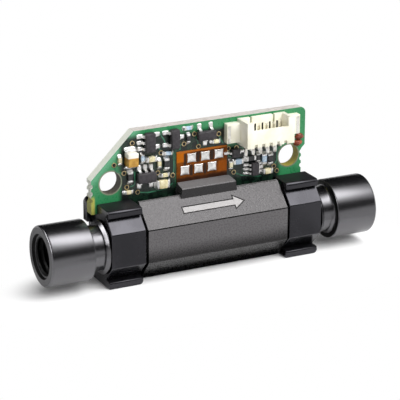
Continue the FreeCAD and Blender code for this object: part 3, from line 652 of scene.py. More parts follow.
def addClip(node, mat):
    shape = mergedShape(node)
    for cornerY, cornerZ, reach, growth in clip["rounds"]:
        y, z = cornerY * mm, cornerZ * mm + axisHeight
        slack = (reach + clip["slack"]) * mm
        for vert in shape.verts:
            if abs(vert.co.y - y) < slack and abs(vert.co.z - z) < slack:
                vert.co.y = y + (vert.co.y - y) * growth
                vert.co.z = z + (vert.co.z - z) * growth
    mesh = weighted(softenedMesh(node + "Moulded", shape, clip["edge"], clip["turn"]), clip["sharp"])
    mesh.materials.append(mat)
    addPiece(node + "Moulded", mesh, [node])


glossyBlack = clipFinish()
addClip("inlet_clip", glossyBlack)
addClip("outlet_clip", glossyBlack)

# Housing: anthracite plastic with a spark-eroded grain; the arrow's field is left bright and smooth; painted
# light on the base's front and on the ridge top, painted shade in the arrow's sunken outline
arrow = {"line": 2.4, "frontY": -4.0, "frontZ": 2.77, "soft": 0.02,
         "field": {"tail": -5.15, "neck": 3.37, "tip": 4.88, "shaftHalf": 0.45, "headHalf": 0.99},
         "outline": {"tail": -5.31, "neck": 3.21, "tip": 5.16, "shaftHalf": 0.61, "headHalf": 1.28}}
plastic = {"plain": (0.02, 0.02, 0.021), "tint": (1.0, 0.965, 0.98, 1.0), "grain": 4000, "fine": 7500,
           "fineShare": 0.6, "range": (0.3, 0.7), "roughSpread": 0.14, "upright": (-0.98, -0.8),
           "smooth": (0.004, 0.004, 0.004), "depth": 0.05}
base = {"index": 1.5, "gloss": 0.22, "relief": 0.32, "paintedLightFade": (-2.2, 0.45), "range": (0.35, 0.7),
        "dark": (0.088, 0.084, 0.087), "light": (0.108, 0.104, 0.107)}
cover = {"index": 1.58, "gloss": 0.24, "relief": 0.7, "cloud": 260, "dark": (0.017, 0.0162, 0.0168),
         "light": (0.022, 0.021, 0.0218), "speck": (0.044, 0.0419, 0.0434), "range": (0.4, 0.66),
         "topFacing": (0.9, 0.98), "paintedLitTopDark": (0.06, 0.058, 0.059), "paintedLitTopLight": (0.19, 0.185, 0.187),
         "topDull": 0.3, "paintedGrooveShade": (0.002, 0.002, 0.002), "grooveDull": 0.4, "field": (0.27, 0.262, 0.258),
         "fieldGloss": 0.4, "fieldSmooth": 0.8}


def arrowShape(tree, x, off, sizes):  # 1 inside an arrow of these sizes
    soft = arrow["soft"] * mm
    neck = sizes["neck"] * mm
    length = inside(tree, x, sizes["tail"] * mm, neck, soft)
    shaft = times(tree, length, below(tree, off, sizes["shaftHalf"] * mm, soft))
    lean = sizes["headHalf"] / (sizes["tip"] - sizes["neck"])
    edge = times(tree, minus(tree, sizes["tip"] * mm, x), lean)
    wedge = above(tree, minus(tree, edge, off), 0, soft)
    return most(tree, shaft, times(tree, wedge, above(tree, x, neck, soft)))


def slopeDistance(tree, y, z):  # distance from the arrow's middle line, measured up the 45 degree slope
    lifted = minus(tree, z, axisHeight + arrow["frontZ"] * mm)
    forward = minus(tree, y, arrow["frontY"] * mm)
    climb = times(tree, plus(tree, lifted, forward), math.sqrt(0.5))
    return sums(tree, "ABSOLUTE", minus(tree, climb, arrow["line"] * mm))


def grainOf(tree, spot, gloss):  # grain, its height with a finer one on it, and its roughness
    grain = noise(tree, spot, plastic["grain"], detail=3)
    texture = plus(tree, grain, times(tree, noise(tree, spot, plastic["fine"]), plastic["fineShare"]))
    return grain, texture, ramp(tree, grain, *plastic["range"], gloss, gloss + plastic["roughSpread"])


def newPlastic(name, kind):
    sockets = {"IOR": kind["index"], "Specular Tint": plastic["tint"]}
    return newMaterial(name, plastic["plain"], kind["gloss"], **sockets)


def baseFinish():  # painted light on the front: a lit grey at the top that fades into painted shade towards the lower edge
    mat, tree, shader = newPlastic("grainedBase", base)
    spot = place(tree)
    grain, texture, rough = grainOf(tree, spot, base["gloss"])
    upright = ramp(tree, facingAxes(tree)[1], *plastic["upright"], 1, 0)
    low, high = (axisHeight + height * mm for height in base["paintedLightFade"])
    grey = mixed(tree, ramp(tree, grain, *base["range"]), base["dark"], base["light"])
    # painted light and shade: front faces are painted a lit grey at their top, fading into the near-black
    # plastic towards the bottom
    front = times(tree, upright, ramp(tree, axes(tree, spot)[2], low, high))
    coat(tree, shader, mixed(tree, front, plastic["smooth"], grey), rough)
    bump(tree, shader, texture, base["relief"], plastic["depth"])
    return mat


def coverFinish():
    mat, tree, shader = newPlastic("grainedCover", cover)
    spot = place(tree)
    x, y, z = axes(tree, spot)
    facing = facingAxes(tree)
    grain, texture, rough = grainOf(tree, spot, cover["gloss"])
    dark = mixed(tree, noise(tree, spot, cover["cloud"], detail=3), cover["dark"], cover["light"])
    tone = mixed(tree, ramp(tree, grain, *cover["range"]), dark, cover["speck"])
    upward = ramp(tree, facing[2], *cover["topFacing"])  # top of the ridge, duller, and lighter as painted light
    tone = mixed(tree, upward, tone, mixed(tree, grain, cover["paintedLitTopDark"], cover["paintedLitTopLight"]))
    rough = plus(tree, rough, times(tree, upward, cover["topDull"]))
    upright = ramp(tree, facing[1], *plastic["upright"], 1, 0)  # front of the ridge, left smooth
    tone = mixed(tree, upright, tone, plastic["smooth"])
    texture = times(tree, texture, minus(tree, 1, upright))
    off = slopeDistance(tree, y, z)
    # painted shade: the sunken outline round the arrow is near black
    outline = arrowShape(tree, x, off, arrow["outline"])
    tone = mixed(tree, outline, tone, cover["paintedGrooveShade"])
    rough = plus(tree, rough, times(tree, outline, cover["grooveDull"]))
    field = arrowShape(tree, x, off, arrow["field"])
    tone = mixed(tree, field, tone, cover["field"])
    rough = minus(tree, rough, times(tree, field, cover["fieldGloss"]))
    texture = times(tree, texture, minus(tree, 1, times(tree, field, cover["fieldSmooth"])))
    coat(tree, shader, tone, rough)
    bump(tree, shader, texture, cover["relief"], plastic["depth"])
    return mat


dress(baseFinish(), "housing_base")
dress(coverFinish(), "housing_cover")

# Parting line: a thin near-black strip all along the front, painted shade standing in for the fine gap
# between base and cover, sizes in mm
parting = {"reach": 11.96, "proud": 0.012, "below": 0.015, "above": 0.035, "sharp": 30, "cloud": 900,
           "dark": (0.001, 0.001, 0.001), "light": (0.004, 0.004, 0.004), "rough": 0.9}


def addPartingShade():
    dull = {"Specular IOR Level": 0.0}
    # painted shade: a matte near-black strip without gloss
    mat, tree, shader = newMaterial("partingGap", parting["light"], parting["rough"], **dull)
    cloud = noise(tree, place(tree), parting["cloud"])
    coat(tree, shader, mixed(tree, cloud, parting["dark"], parting["light"]), parting["rough"])
    front, line, proud = arrow["frontY"], arrow["frontZ"], parting["proud"]
    low, top, back = line - parting["below"], line + parting["above"], front + parting["above"]
    section = ((front - proud, low), (front - proud, line), (back - proud, top), (back + proud, top - proud),
               (front + proud, line), (front + proud, low))
    verts = [(x * mm, y * mm, z * mm + axisHeight)
             for x in (-parting["reach"], parting["reach"]) for y, z in section]
    count = len(section)
    faces = ringFaces(0, count, count) + [tuple(range(count)), tuple(range(count, 2 * count))]
    mesh = closedMesh("partingLine", verts, faces, mat)
    addPiece("partingLine", mesh, sharp=parting["sharp"])


addPartingShade()
print("housing and clips finished")

# Circuit board: solder mask over copper, bare laminate at the edges, plated right hole; painted shade darkens
# the front among the parts, under the connector and near the housing, and painted light brightens the
# left-facing edges
# Places across and up from the flow axis in mm; each hole has the tints of its ring and its wall
board = {"holes": (((-15.24, 9.1), (0.20, 0.22, 0.15), (0.10, 0.09, 0.07)),
                   ((14.5, 9.1), (0.15, 0.17, 0.11), (0.33, 0.28, 0.05))),
         "holeRadius": 1.7, "ring": (0.144, 0.24), "wall": (0.02, 0.05), "bareLeft": -17.75, "bareSoft": 0.15,
         "crowdedAndShaded": ((-13.7, -4.4, 4.9, 15.7), (-4.8, 4.1, 12.0, 15.2), (3.5, 12.9, 4.9, 12.0)), "crowdedAndShadedSoft": 0.5,
         "lowBare": 7.2, "lowSoft": 0.4, "cutFoot": (-18.29, 9.8), "cutTop": (-11.48, 16.5),
         "paleBand": (0.2, 1.3), "paleShare": 0.5, "plain": (0.06, 0.30, 0.14),
         "mask": ((0.014, 0.165, 0.052), (0.042, 0.26, 0.105)), "pale": (0.17, 0.46, 0.28), "cloud": 420,
         "bare": ((0.003, 0.008, 0.0055), (0.008, 0.024, 0.014)), "cells": 900, "cellEdge": (0.28, 0.42),
         "layers": 5200, "laminate": ((0.36, 0.33, 0.295), (0.56, 0.525, 0.49)), "fibreStretch": (1, 6, 1),
         "fibres": 900, "fibreRange": (0.35, 0.7), "fibre": (0.66, 0.625, 0.595),
         "olive": ((0.30, 0.32, 0.04), (0.58, 0.56, 0.16)), "paintedLitLeftEdge": (0.90, 0.93, 0.82),
         "weaveStretch": (1, 0.2, 1), "weave": 2600, "range": (0.3, 0.7), "rough": (0.26, 0.36),
         "edgeDull": 0.35, "relief": 0.15, "depth": 0.03, "edgeFacing": (0.4, 0.6),
         "frontFacing": (-0.6, -0.4), "leftFacing": (-0.5, -0.2)}


def holeDistance(tree, x, z, centre):
    return diagonal(tree, minus(tree, x, centre[0] * mm), minus(tree, z, centre[1] * mm + axisHeight))


def cutDistance(tree, x, z):  # distance from the cut corner's edge
    top = board["cutTop"]
    rise = (Vector(top) - Vector(board["cutFoot"])).normalized()
    along = times(tree, minus(tree, x, top[0] * mm), rise.y)
    return minus(tree, along, times(tree, minus(tree, z, top[1] * mm + axisHeight), rise.x))


def crowdedTone(tree, x, z):  # near-black tones as painted shade among the parts, a little lighter where copper lies under the mask
    flat = addNode(tree, "ShaderNodeCombineXYZ")
    feed(tree, flat.inputs[0], x)
    feed(tree, flat.inputs[1], z)
    cells = addNode(tree, "ShaderNodeTexVoronoi", distance="CHEBYCHEV", voronoi_dimensions="2D")
    feed(tree, cells.inputs["Vector"], flat.outputs[0])
    cells.inputs["Scale"].default_value = board["cells"]
    return mixed(tree, ramp(tree, cells.outputs["Distance"], *board["cellEdge"], 1, 0), *board["bare"])


def aroundHoles(tree, x, z, tone, reach, tints):  # tints a tone as far as a reach from each hole's edge
    for (centre, *_), tint in zip(board["holes"], tints):
        near, far = ((board["holeRadius"] + edge) * mm for edge in reach)
        tone = mixed(tree, ramp(tree, holeDistance(tree, x, z, centre), near, far, 1, 0), tone, tint)
    return tone


def maskTone(tree, spot, facing):
    x, _, z = axes(tree, spot)
    mask = mixed(tree, noise(tree, spot, board["cloud"], detail=3), *board["mask"])
    near, far = (edge * mm for edge in board["paleBand"])
    pale = ramp(tree, cutDistance(tree, x, z), near, far, board["paleShare"], 0)
    mask = mixed(tree, pale, mask, board["pale"])
    front = ramp(tree, facing[1], *board["frontFacing"], 1, 0)
    # painted shade: front faces in these fields are darkened, partly also for mask without copper pour
    crowdedAndShaded = times(tree, patches(tree, x, z, board["crowdedAndShaded"], board["crowdedAndShadedSoft"]), front)
    mask = mixed(tree, crowdedAndShaded, mask, crowdedTone(tree, x, z))
    return aroundHoles(tree, x, z, mask, board["ring"], [ring for _, ring, _ in board["holes"]])


def boardFinish():
    mat, tree, shader = newMaterial("solderMask", board["plain"], board["rough"][0])
    spot = place(tree)
    x, y, z = axes(tree, spot)
    facing = facingAxes(tree)
    layers = noise(tree, y, board["layers"], dimensions="1D")
    fibres = noise(tree, stretch(tree, spot, board["fibreStretch"]), board["fibres"], detail=3)
    laminate = mixed(tree, layers, *board["laminate"])
    laminate = mixed(tree, ramp(tree, fibres, *board["fibreRange"]), laminate, board["fibre"])
    olive = mixed(tree, layers, *board["olive"])
    low = below(tree, z, axisHeight + board["lowBare"] * mm, board["lowSoft"] * mm)
    laminate = mixed(tree, low, laminate, olive)
    # painted light: laminate edges that face left are made pale
    leftward = ramp(tree, facing[0], *board["leftFacing"], 1, 0)
    laminate = mixed(tree, times(tree, leftward, minus(tree, 1, low)), laminate, board["paintedLitLeftEdge"])
    laminate = aroundHoles(tree, x, z, laminate, board["wall"], [wall for _, _, wall in board["holes"]])
    bareStrip = times(tree, below(tree, x, board["bareLeft"] * mm, board["bareSoft"] * mm), low)
    mask = mixed(tree, bareStrip, maskTone(tree, spot, facing), olive)
    onEdge = ramp(tree, sums(tree, "ABSOLUTE", facing[1]), *board["edgeFacing"], 1, 0)
    weave = noise(tree, stretch(tree, spot, board["weaveStretch"]), board["weave"], detail=3)
    satin = ramp(tree, weave, *board["range"], *board["rough"])
    dull = plus(tree, satin, times(tree, onEdge, board["edgeDull"]))
    coat(tree, shader, mixed(tree, onEdge, mask, laminate), dull)
    bump(tree, shader, weave, board["relief"], board["depth"])
    return mat


dress(boardFinish(), "circuit_board")

# Metals, plastics, ceramics and glazes, each clouded between a dark and a light tone
metalKind = {"range": (0.3, 0.6), "duller": 0.12, "shinier": 0.06, "finer": 3, "depth": 0.03}
mouldedKind = {"range": (0.3, 0.7), "duller": 0.08, "shinier": 0.05, "finer": 4, "depth": 0.02}
amberKind = {**mouldedKind, "duller": 0.07}
lacquerKind = {**mouldedKind, "depth": 0.06}
clouding = {"range": (0.3, 0.7), "relief": 0.2}
amberBand = {"share": 0.34, "soft": 0.05, "tone": (0.82, 0.78, 0.68)}


def cloudedFinish(name, dark, light, roughness, scale, kind=mouldedKind, band=None, **sockets):
    mat, tree, shader = newMaterial(name, light, roughness, **sockets)
    spot = place(tree)
    cloud = noise(tree, spot, scale, detail=3)
    tone = mixed(tree, ramp(tree, cloud, *kind["range"]), dark, light)
    if band:
        tone = band(tree, spot, tone)
    rough = ramp(tree, cloud, *clouding["range"], roughness + kind["duller"], roughness - kind["shinier"])
    coat(tree, shader, tone, rough)
    bump(tree, shader, noise(tree, spot, kind["finer"] * scale), clouding["relief"], kind["depth"])
    return mat


def paleBand(tree, spot, tone):  # at the tantalum capacitor's marked end
    low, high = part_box("tantalum_capacitor")
    edge = high.z - amberBand["share"] * (high.z - low.z)
    marked = above(tree, axes(tree, spot)[2], edge, amberBand["soft"] * mm)
    return mixed(tree, marked, tone, amberBand["tone"])


def metalFinish(name, dark, light, roughness, scale):
    return cloudedFinish(name, dark, light, roughness, scale, metalKind, Metallic=1)


# Each has its dark and light tone, its roughness and the scale of its clouds
solderMat = metalFinish("brightSolder", (0.80, 0.79, 0.77), (0.985, 0.975, 0.965), 0.36, 1500)
contactMat = metalFinish("tinnedBronze", (0.58, 0.55, 0.48), (0.86, 0.84, 0.78), 0.3, 1100)
goldMat = metalFinish("goldRing", (0.46, 0.34, 0.16), (0.76, 0.60, 0.34), 0.4, 1800)
ivoryMat = cloudedFinish("ivoryMoulding", (0.85, 0.815, 0.645), (0.91, 0.885, 0.775), 0.42, 500)
mouldMat = cloudedFinish("mouldingCompound", (0.026, 0.023, 0.026), (0.044, 0.039, 0.044), 0.55, 2200)
creamMat = cloudedFinish("firedCeramic", (0.56, 0.49, 0.26), (0.82, 0.76, 0.54), 0.5, 1400)
glazeMat = cloudedFinish("blackGlaze", (0.018, 0.018, 0.019), (0.040, 0.040, 0.042), 0.3, 1600)
blueMat = cloudedFinish("blueGlaze", (0.30, 0.42, 0.56), (0.56, 0.68, 0.78), 0.3, 1600)
amberMat = cloudedFinish("amberMoulding", (0.36, 0.17, 0.02), (0.58, 0.33, 0.06), 0.45, 900,
                         amberKind, paleBand)
lacquerMat = cloudedFinish("redLacquer", (0.10, 0.020, 0.009), (0.30, 0.058, 0.024), 0.3, 1300, lacquerKind)
# painted shade: near-black discs and strips stand in for the dark inside of via bores and contact slots
holeShadeMat = cloudedFinish("viaBore", (0.004, 0.004, 0.004), (0.010, 0.010, 0.009), 0.7, 3000)
trackMat = cloudedFinish("coveredTrack", (0.018, 0.10, 0.052), (0.045, 0.20, 0.11), 0.3, 900)
rubberMat = cloudedFinish("sealRubber", (0.02, 0.02, 0.02), (0.035, 0.035, 0.035), 0.6, 800)
siliconMat = cloudedFinish("polishedSilicon", (0.16, 0.17, 0.20), (0.24, 0.25, 0.29), 0.15, 700)
glassMat = cloudedFinish("drawnGlass", (0.90, 0.95, 0.94), (0.97, 0.99, 0.98), 0.06, 400,
                         **{"Transmission Weight": 1.0, "IOR": 1.47})
dress(rubberMat, "inlet_seal", "outlet_seal")
dress(siliconMat, "sensor_chip")
dress(glassMat, "measuring_tube")
dress(contactMat, "connector_contacts", "connector_anchors")
dress(solderMat, "package_leads")

# Connector shell with its edges rounded off, and near-black strips on its back wall as painted shade of the
# contact slots, in mm
connector = {"edge": 0.045, "turn": 40, "sharp": 20, "wall": 0.6, "slotWidth": 0.28, "slotLow": 13.6,
             "slotHigh": 15.15, "slotDepth": 0.03}
block = roundedBlock(bevel=0.09)
softBlock = roundedBlock(bevel=0.16)


def addConnector():
    shape = mergedShape("connector_shell")
    shell = softenedMesh("connectorSoftened", shape, connector["edge"], connector["turn"])
    shell.materials.append(ivoryMat)
    addPiece("connectorMoulding", shell, ["connector_shell"], sharp=connector["sharp"])
    height = (connector["slotHigh"] - connector["slotLow"]) * mm
    size = (connector["slotWidth"] * mm, connector["slotDepth"] * mm, height)
    wall, centre = boardFront - connector["wall"] * mm, connector["slotLow"] * mm + height / 2 + axisHeight
    spots = [((middle(points).x, wall, centre), size, 0) for points in solidsOf("connector_contacts")]
    addPiece("contactSlots", seated("contactSlots", block, spots, holeShadeMat))


addConnector()

# Chip parts and packages: rounded bodies in place of the plain ones
chipKinds = {"ceramic_capacitors": ("ceramicBodies", creamMat, "ceramic_cream"),
             "chip_resistors": ("resistorBodies", glazeMat, "resistor_black"),
             "thin_film_resistors": ("filmResistorBodies", blueMat, "film_blue"),
             "tantalum_capacitor": ("tantalumBlock", amberMat, "tantalum_amber")}
packages = ("upper_left_chip", "upper_transistor", "lower_left_chip", "middle_transistor",
            "lower_right_chip", "rectifier_diode")
bodies = []
for node, (name, mat, slot) in chipKinds.items():
    solids = [boxOf(points) for points in solidsOf(node)]
    bodies += [(low + high) / 2 for low, high in solids]
    spots = [((low + high) / 2, high - low, 0) for low, high in solids]
    addPiece(name, seated(name, block, spots, mat), [node])


def addPackages():
    for node in packages:
        low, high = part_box(node)
        mesh = seated(node + "Moulding", block, [((low + high) / 2, high - low, 0)], mouldMat)
        addPiece(node + "Moulding", mesh, [node])


# Solder at end caps, leads and connector feet, sizes in mm apart from climb, spill, swell and spread
solder = {"run": 0.34, "climb": 0.85, "spill": 1.16, "capSwell": 1.04, "leadLength": 1.1, "leadSpread": 1.75,
          "leadRise": 0.26, "leadShift": 0.2, "footWidth": 0.7, "footLength": 1.15, "footShift": 0.4,
          "slack": 0.03}


def outwardFrom(apart):  # nearest of the four directions in the board's plane
    if abs(apart.x) > abs(apart.z):
        return Vector((math.copysign(1, apart.x), 0, 0))
    return Vector((0, 0, math.copysign(1, apart.z)))


def turnOf(outward):
    return math.atan2(-outward.z, outward.x)


def addEndCaps():
    caps, fillets = [], []
    for points in solidsOf("chip_end_caps"):
        low, high = boxOf(points)
        centre, size = (low + high) / 2, high - low
        outward = outwardFrom(centre - min(bodies, key=lambda other: (other.xz - centre.xz).length))
        swell = Vector([1 if part else solder["capSwell"] for part in outward])
        caps.append((centre, size * swell, 0))
        root = centre + outward * abs(size.dot(outward)) / 2
        width = size.z if outward.x else size.x
        spread = (solder["run"] * mm, size.y * solder["climb"], width * solder["spill"])
        fillets.append(((root.x, boardFront, root.z), spread, turnOf(outward)))
    addPiece("endCaps", seated("endCaps", softBlock, caps, solderMat), ["chip_end_caps"])
    addPiece("endFillets", seated("endFillets", filletShape(), fillets, solderMat))


def addPools():  # at the packages' leads and at the connector's feet
    rise = solder["leadRise"] * mm
    slack = solder["slack"] * mm
    pools = []
    for points in solidsOf("package_leads"):
        low, high = boxOf(points)
        foot = middle([point for point in points if point.y > boardFront - slack])
        root = middle([point for point in points if point.y < low.y + slack])
        outward = outwardFrom(foot - root)
        centre = foot + outward * solder["leadShift"] * mm
        width = min(high.x - low.x, high.z - low.z)
        size = (solder["leadLength"] * mm, rise, width * solder["leadSpread"])
        pools.append(((centre.x, boardFront, centre.z), size, turnOf(outward)))
    size = (solder["footWidth"] * mm, rise, solder["footLength"] * mm)
    for points in solidsOf("connector_contacts"):
        foot = boxOf(points)[0].z + solder["footShift"] * mm
        pools.append(((middle(points).x, boardFront, foot), size, 0))
    addPiece("solderPools", seated("solderPools", moundShape(), pools, solderMat))


def addPillows():  # on the flex circuit
    spots = []
    for points in solidsOf("flex_solder_joints"):
        low, high = boxOf(points)
        spots.append((((low.x + high.x) / 2, high.y, (low.z + high.z) / 2), high - low, 0))
    pillows = seated("flexPillows", pillowShape(), spots, solderMat)
    addPiece("flexPillows", pillows, ["flex_solder_joints"])


addEndCaps()
addPackages()
addPools()
addPillows()
print("board parts soldered")

# Vias: gold rings on both faces of the board with near-black discs as painted shade in their bores, across
# and up from the flow axis in mm
vias = {"inner": 0.24, "outer": 0.38, "rise": 0.07, "segments": 20, "bevel": 0.04, "bevelShare": 0.6,
        "overlap": 0.02, "boreShare": 0.85, "sharp": 40,
        "spots": ((-11.67, 14.70), (-14.61, 11.74), (-13.04, 10.28), (-7.02, 12.58), (-7.55, 9.55),
                  (-5.10, 8.80), (-12.60, 8.04), (-10.84, 7.00), (-1.52, 14.73), (-3.24, 13.42),
                  (-0.85, 12.69), (2.54, 14.18), (4.17, 11.63), (5.53, 11.59), (5.11, 7.76), (11.99, 7.72),
                  (12.52, 6.92))}


def sectionVerts(section):  # points of each ring of a section, given by radius and rise
    turns = circle(vias["segments"])
    return [(radius * math.cos(turn), -rise, radius * math.sin(turn))
            for radius, rise in section for turn in turns]


def ringShape():  # flat ring with bevelled edges
    inner, outer, bevel, share = vias["inner"], vias["outer"], vias["bevel"], vias["bevelShare"]
    section = ((outer, 0), (outer, share), (outer - bevel, 1), (inner + bevel, 1), (inner, share), (inner, 0))
    count = vias["segments"]
    faces = []
    for ring in range(len(section)):
        faces += ringFaces(ring * count, (ring + 1) % len(section) * count, count)
    return closedMesh("ring", sectionVerts(section), faces)


def discShape():
    radius = vias["inner"] + vias["overlap"]
    count = vias["segments"]
    faces = ringFaces(0, count, count) + [tuple(range(count)), tuple(range(count, 2 * count))]
    return closedMesh("disc", sectionVerts(((radius, 0), (radius, 1))), faces)


def outwards(mesh):  # turns every face right side out
    shape = bmesh.new()
    shape.from_mesh(mesh)
    bmesh.ops.recalc_face_normals(shape, faces=shape.faces)
    shape.to_mesh(mesh)
    shape.free()
    return mesh


def addVias(name, shape, rise, mat):
    spots = []
    for x, z in vias["spots"]:
        for face, side in ((boardFront, 1), (boardBack, -1)):
            spots.append(((x * mm, face, z * mm + axisHeight), (mm, side * rise * mm, mm), 0))
    addPiece(name, outwards(seated(name, shape, spots, mat)), sharp=vias["sharp"])


addVias("viaRings", ringShape(), vias["rise"], goldMat)
addVias("viaBores", discShape(), vias["boreShare"] * vias["rise"], holeShadeMat)

# Tracks under the mask, drawn as routes across and up from the flow axis in mm
tracks = {"width": 0.17, "rise": 0.05, "corner": 0.35, "cornerSteps": 4, "sharp": 40,
          "front": (((-7.9, 15.6), (-7.2, 15.6), (-6.4, 14.3), (-6.4, 13.3)),
                    ((-7.9, 13.6), (-7.2, 13.2), (-7.02, 12.58)),
                    ((-13.04, 10.28), (-11.3, 10.3), (-11.3, 8.2), (-12.0, 8.04)),
                    ((-14.61, 11.74), (-14.3, 10.6), (-13.04, 10.28)),
                    ((-5.1, 8.8), (-4.9, 9.8), (-4.9, 12.2), (-5.4, 12.6)),
                    ((-10.84, 7.0), (-9.2, 6.7), (-6.2, 6.8), (-5.1, 7.6)),
                    ((-1.52, 14.73), (-1.0, 13.6), (-0.85, 12.69)),
                    ((-3.24, 13.42), (-3.9, 13.4), (-3.9, 12.6)),
                    ((2.54, 14.18), (2.9, 13.2), (3.3, 12.6)),
                    ((4.17, 11.63), (4.2, 10.3), (5.0, 10.3)),
                    ((5.11, 7.76), (6.4, 7.1), (9.2, 6.5), (10.0, 6.5)),
                    ((11.99, 7.72), (12.5, 8.6), (12.5, 10.6), (11.8, 11.2)),
                    ((5.53, 11.59), (6.6, 11.5), (6.9, 10.4))),
          "back": (((-11.67, 14.70), (-9.0, 14.70), (-7.02, 12.58)),
                   ((-14.61, 11.74), (-12.4, 11.74), (-7.55, 9.55)),
                   ((-13.04, 10.28), (-11.0, 8.6), (-5.10, 8.80)),
                   ((-12.60, 8.04), (-10.84, 7.00), (3.9, 7.0), (5.11, 7.76)),
                   ((-1.52, 14.73), (0.6, 14.73), (2.54, 14.18)),
                   ((-3.24, 13.42), (-0.85, 12.69), (4.17, 11.63)),
                   ((5.53, 11.59), (9.2, 11.59), (11.99, 7.72)),
                   ((-7.02, 12.58), (-5.6, 13.42), (-3.24, 13.42)),
                   ((5.11, 7.76), (10.4, 6.5), (12.52, 6.92)))}


def addTracks(name, face, routes):
    verts, edges = [], []
    for route in routes:
        start = len(verts)
        verts += [(x * mm, z * mm, 0) for x, z in route]
        edges += [(start + step, start + step + 1) for step in range(len(route) - 1)]
    mesh = bpy.data.meshes.new("routes")
    mesh.from_pydata(verts, edges, [])
    laid = grown(name, mesh, flatTracks, Width=tracks["width"] * mm, Rise=tracks["rise"] * mm,
                 Corner=tracks["corner"] * mm, CornerSteps=tracks["cornerSteps"],
                 Face=(0, face, axisHeight), Finish=trackMat)
    addPiece(name, outwards(laid), sharp=tracks["sharp"])


addTracks("coveredTracks", boardFront, tracks["front"])
addTracks("backTracks", boardBack, tracks["back"])
print("board printed")

# Flex circuit: brown over its copper, orange where the film is bare, darkened below the fold as painted shade
# Fields across and up from the flow axis in mm, each with the tone that lies there
flex = {"plain": (0.2, 0.06, 0.012), "level": 0.07, "cloud": 700, "cloudRange": (0.35, 0.65), "soft": 0.16,
        "film": ((0.085, 0.024, 0.003), (0.18, 0.048, 0.004)),
        "fields": ((((-4.5, -3.1, 10.6, 12.2),), (0.40, 0.105, 0.003)),
                   (((2.5, 3.9, 8.3, 10.0),), (0.25, 0.060, 0.003)),
                   (((-1.25, -0.6, 10.3, 11.9), (1.0, 1.7, 10.3, 11.9), (-3.3, -2.9, 10.0, 11.9),
                     (-2.3, -1.8, 8.3, 10.0), (0.0, 0.45, 8.3, 10.0)), (0.030, 0.018, 0.013))),
        "top": 12.1, "topTone": (0.36, 0.105, 0.014), "fold": (7.9, 8.4), "foldShare": 0.85,
        "paintedFoldShade": (0.020, 0.009, 0.006), "range": (0.3, 0.7), "rough": (0.18, 0.3), "grain": 1800,
        "relief": 0.15, "depth": 0.04}


def flexFinish():
    level = {"Specular IOR Level": flex["level"]}
    mat, tree, shader = newMaterial("orangeFilm", flex["plain"], flex["rough"][0], **level)
    spot = place(tree)
    x, _, z = axes(tree, spot)
    cloud = noise(tree, spot, flex["cloud"], detail=3)
    film = mixed(tree, ramp(tree, cloud, *flex["cloudRange"]), *flex["film"])
    for fields, tone in flex["fields"]:
        film = mixed(tree, patches(tree, x, z, fields, flex["soft"]), film, tone)
    edge = axisHeight + flex["top"] * mm
    film = mixed(tree, ramp(tree, z, edge - flex["soft"] * mm, edge), film, flex["topTone"])
    # painted shade: the film darkens below the fold
    low, high = (axisHeight + height * mm for height in flex["fold"])
    film = mixed(tree, ramp(tree, z, low, high, flex["foldShare"], 0), film, flex["paintedFoldShade"])
    coat(tree, shader, film, ramp(tree, cloud, *flex["range"], *flex["rough"]))
    bump(tree, shader, noise(tree, spot, flex["grain"]), flex["relief"], flex["depth"])
    return mat


dress(flexFinish(), "flex_circuit")

# Lacquer: two dried drops with an uneven edge; each lobe has its count, size and phase
lacquer = {"steps": 40, "rings": 10, "lobes": ((3, 0.10, 0.4), (5, 0.06, 1.9), (8, 0.03, 0.8)), "swell": 1.2,
           "phase": 2.1, "dome": 3, "dents": 3, "dentDepth": 0.18, "sharp": 60}


def dropVerts(low, high, number):  # the crown, then ring after ring down to the board
    centre, half = (low + high) / 2, (high - low) / 2
    verts = [(centre.x, low.y, centre.z)]
    for ring in range(1, lacquer["rings"] + 1):
        share = ring / lacquer["rings"]
        for turn in circle(lacquer["steps"]):
            swell = lacquer["swell"] + sum(size * math.sin(lobe * turn + phase + lacquer["phase"] * number)
                                           for lobe, size, phase in lacquer["lobes"])
            dent = lacquer["dentDepth"] * math.sin(lacquer["dents"] * turn + number) * share
            rise = (1 - share ** lacquer["dome"]) * (1 - dent)
            verts.append((centre.x + share * swell * half.x * math.cos(turn), high.y - rise * 2 * half.y,
                          centre.z + share * swell * half.z * math.sin(turn)))
    return verts


def addLacquer():
    verts, faces = [], []
    count = lacquer["steps"]
    for number, points in enumerate(solidsOf("lacquer_drops")):
        start = len(verts)
        verts += dropVerts(*boxOf(points), number)
        faces += [(start, start + 1 + step, start + 1 + (step + 1) % count) for step in range(count)]
        for ring in range(lacquer["rings"] - 1):
            one = start + 1 + ring * count
            faces += ringFaces(one, one + count, count)
        faces.append(tuple(range(len(verts) - count, len(verts))))
    mesh = closedMesh("lacquerSplash", verts, faces, lacquerMat)
    addPiece("lacquerSplash", mesh, ["lacquer_drops"], sharp=lacquer["sharp"])


addLacquer()
print("flex circuit and lacquer finished")

# Floor, in metres: lit near the object so that it keeps the shadow, plain white further out
floor = {"half": 3.0, "albedo": (0.55, 0.55, 0.55), "seenAlbedo": (0.97, 0.97, 0.97), "rough": 0.9,
         "oval": 0.44, "ahead": 0.004, "litRadius": 0.012, "whiteRadius": 0.0165}


def seenShare(tree):  # 1 for camera, mirror and glass rays
    path = addNode(tree, "ShaderNodeLightPath")
    seen = most(tree, path.outputs["Is Camera Ray"], path.outputs["Is Glossy Ray"])
    return most(tree, seen, path.outputs["Is Transmission Ray"])


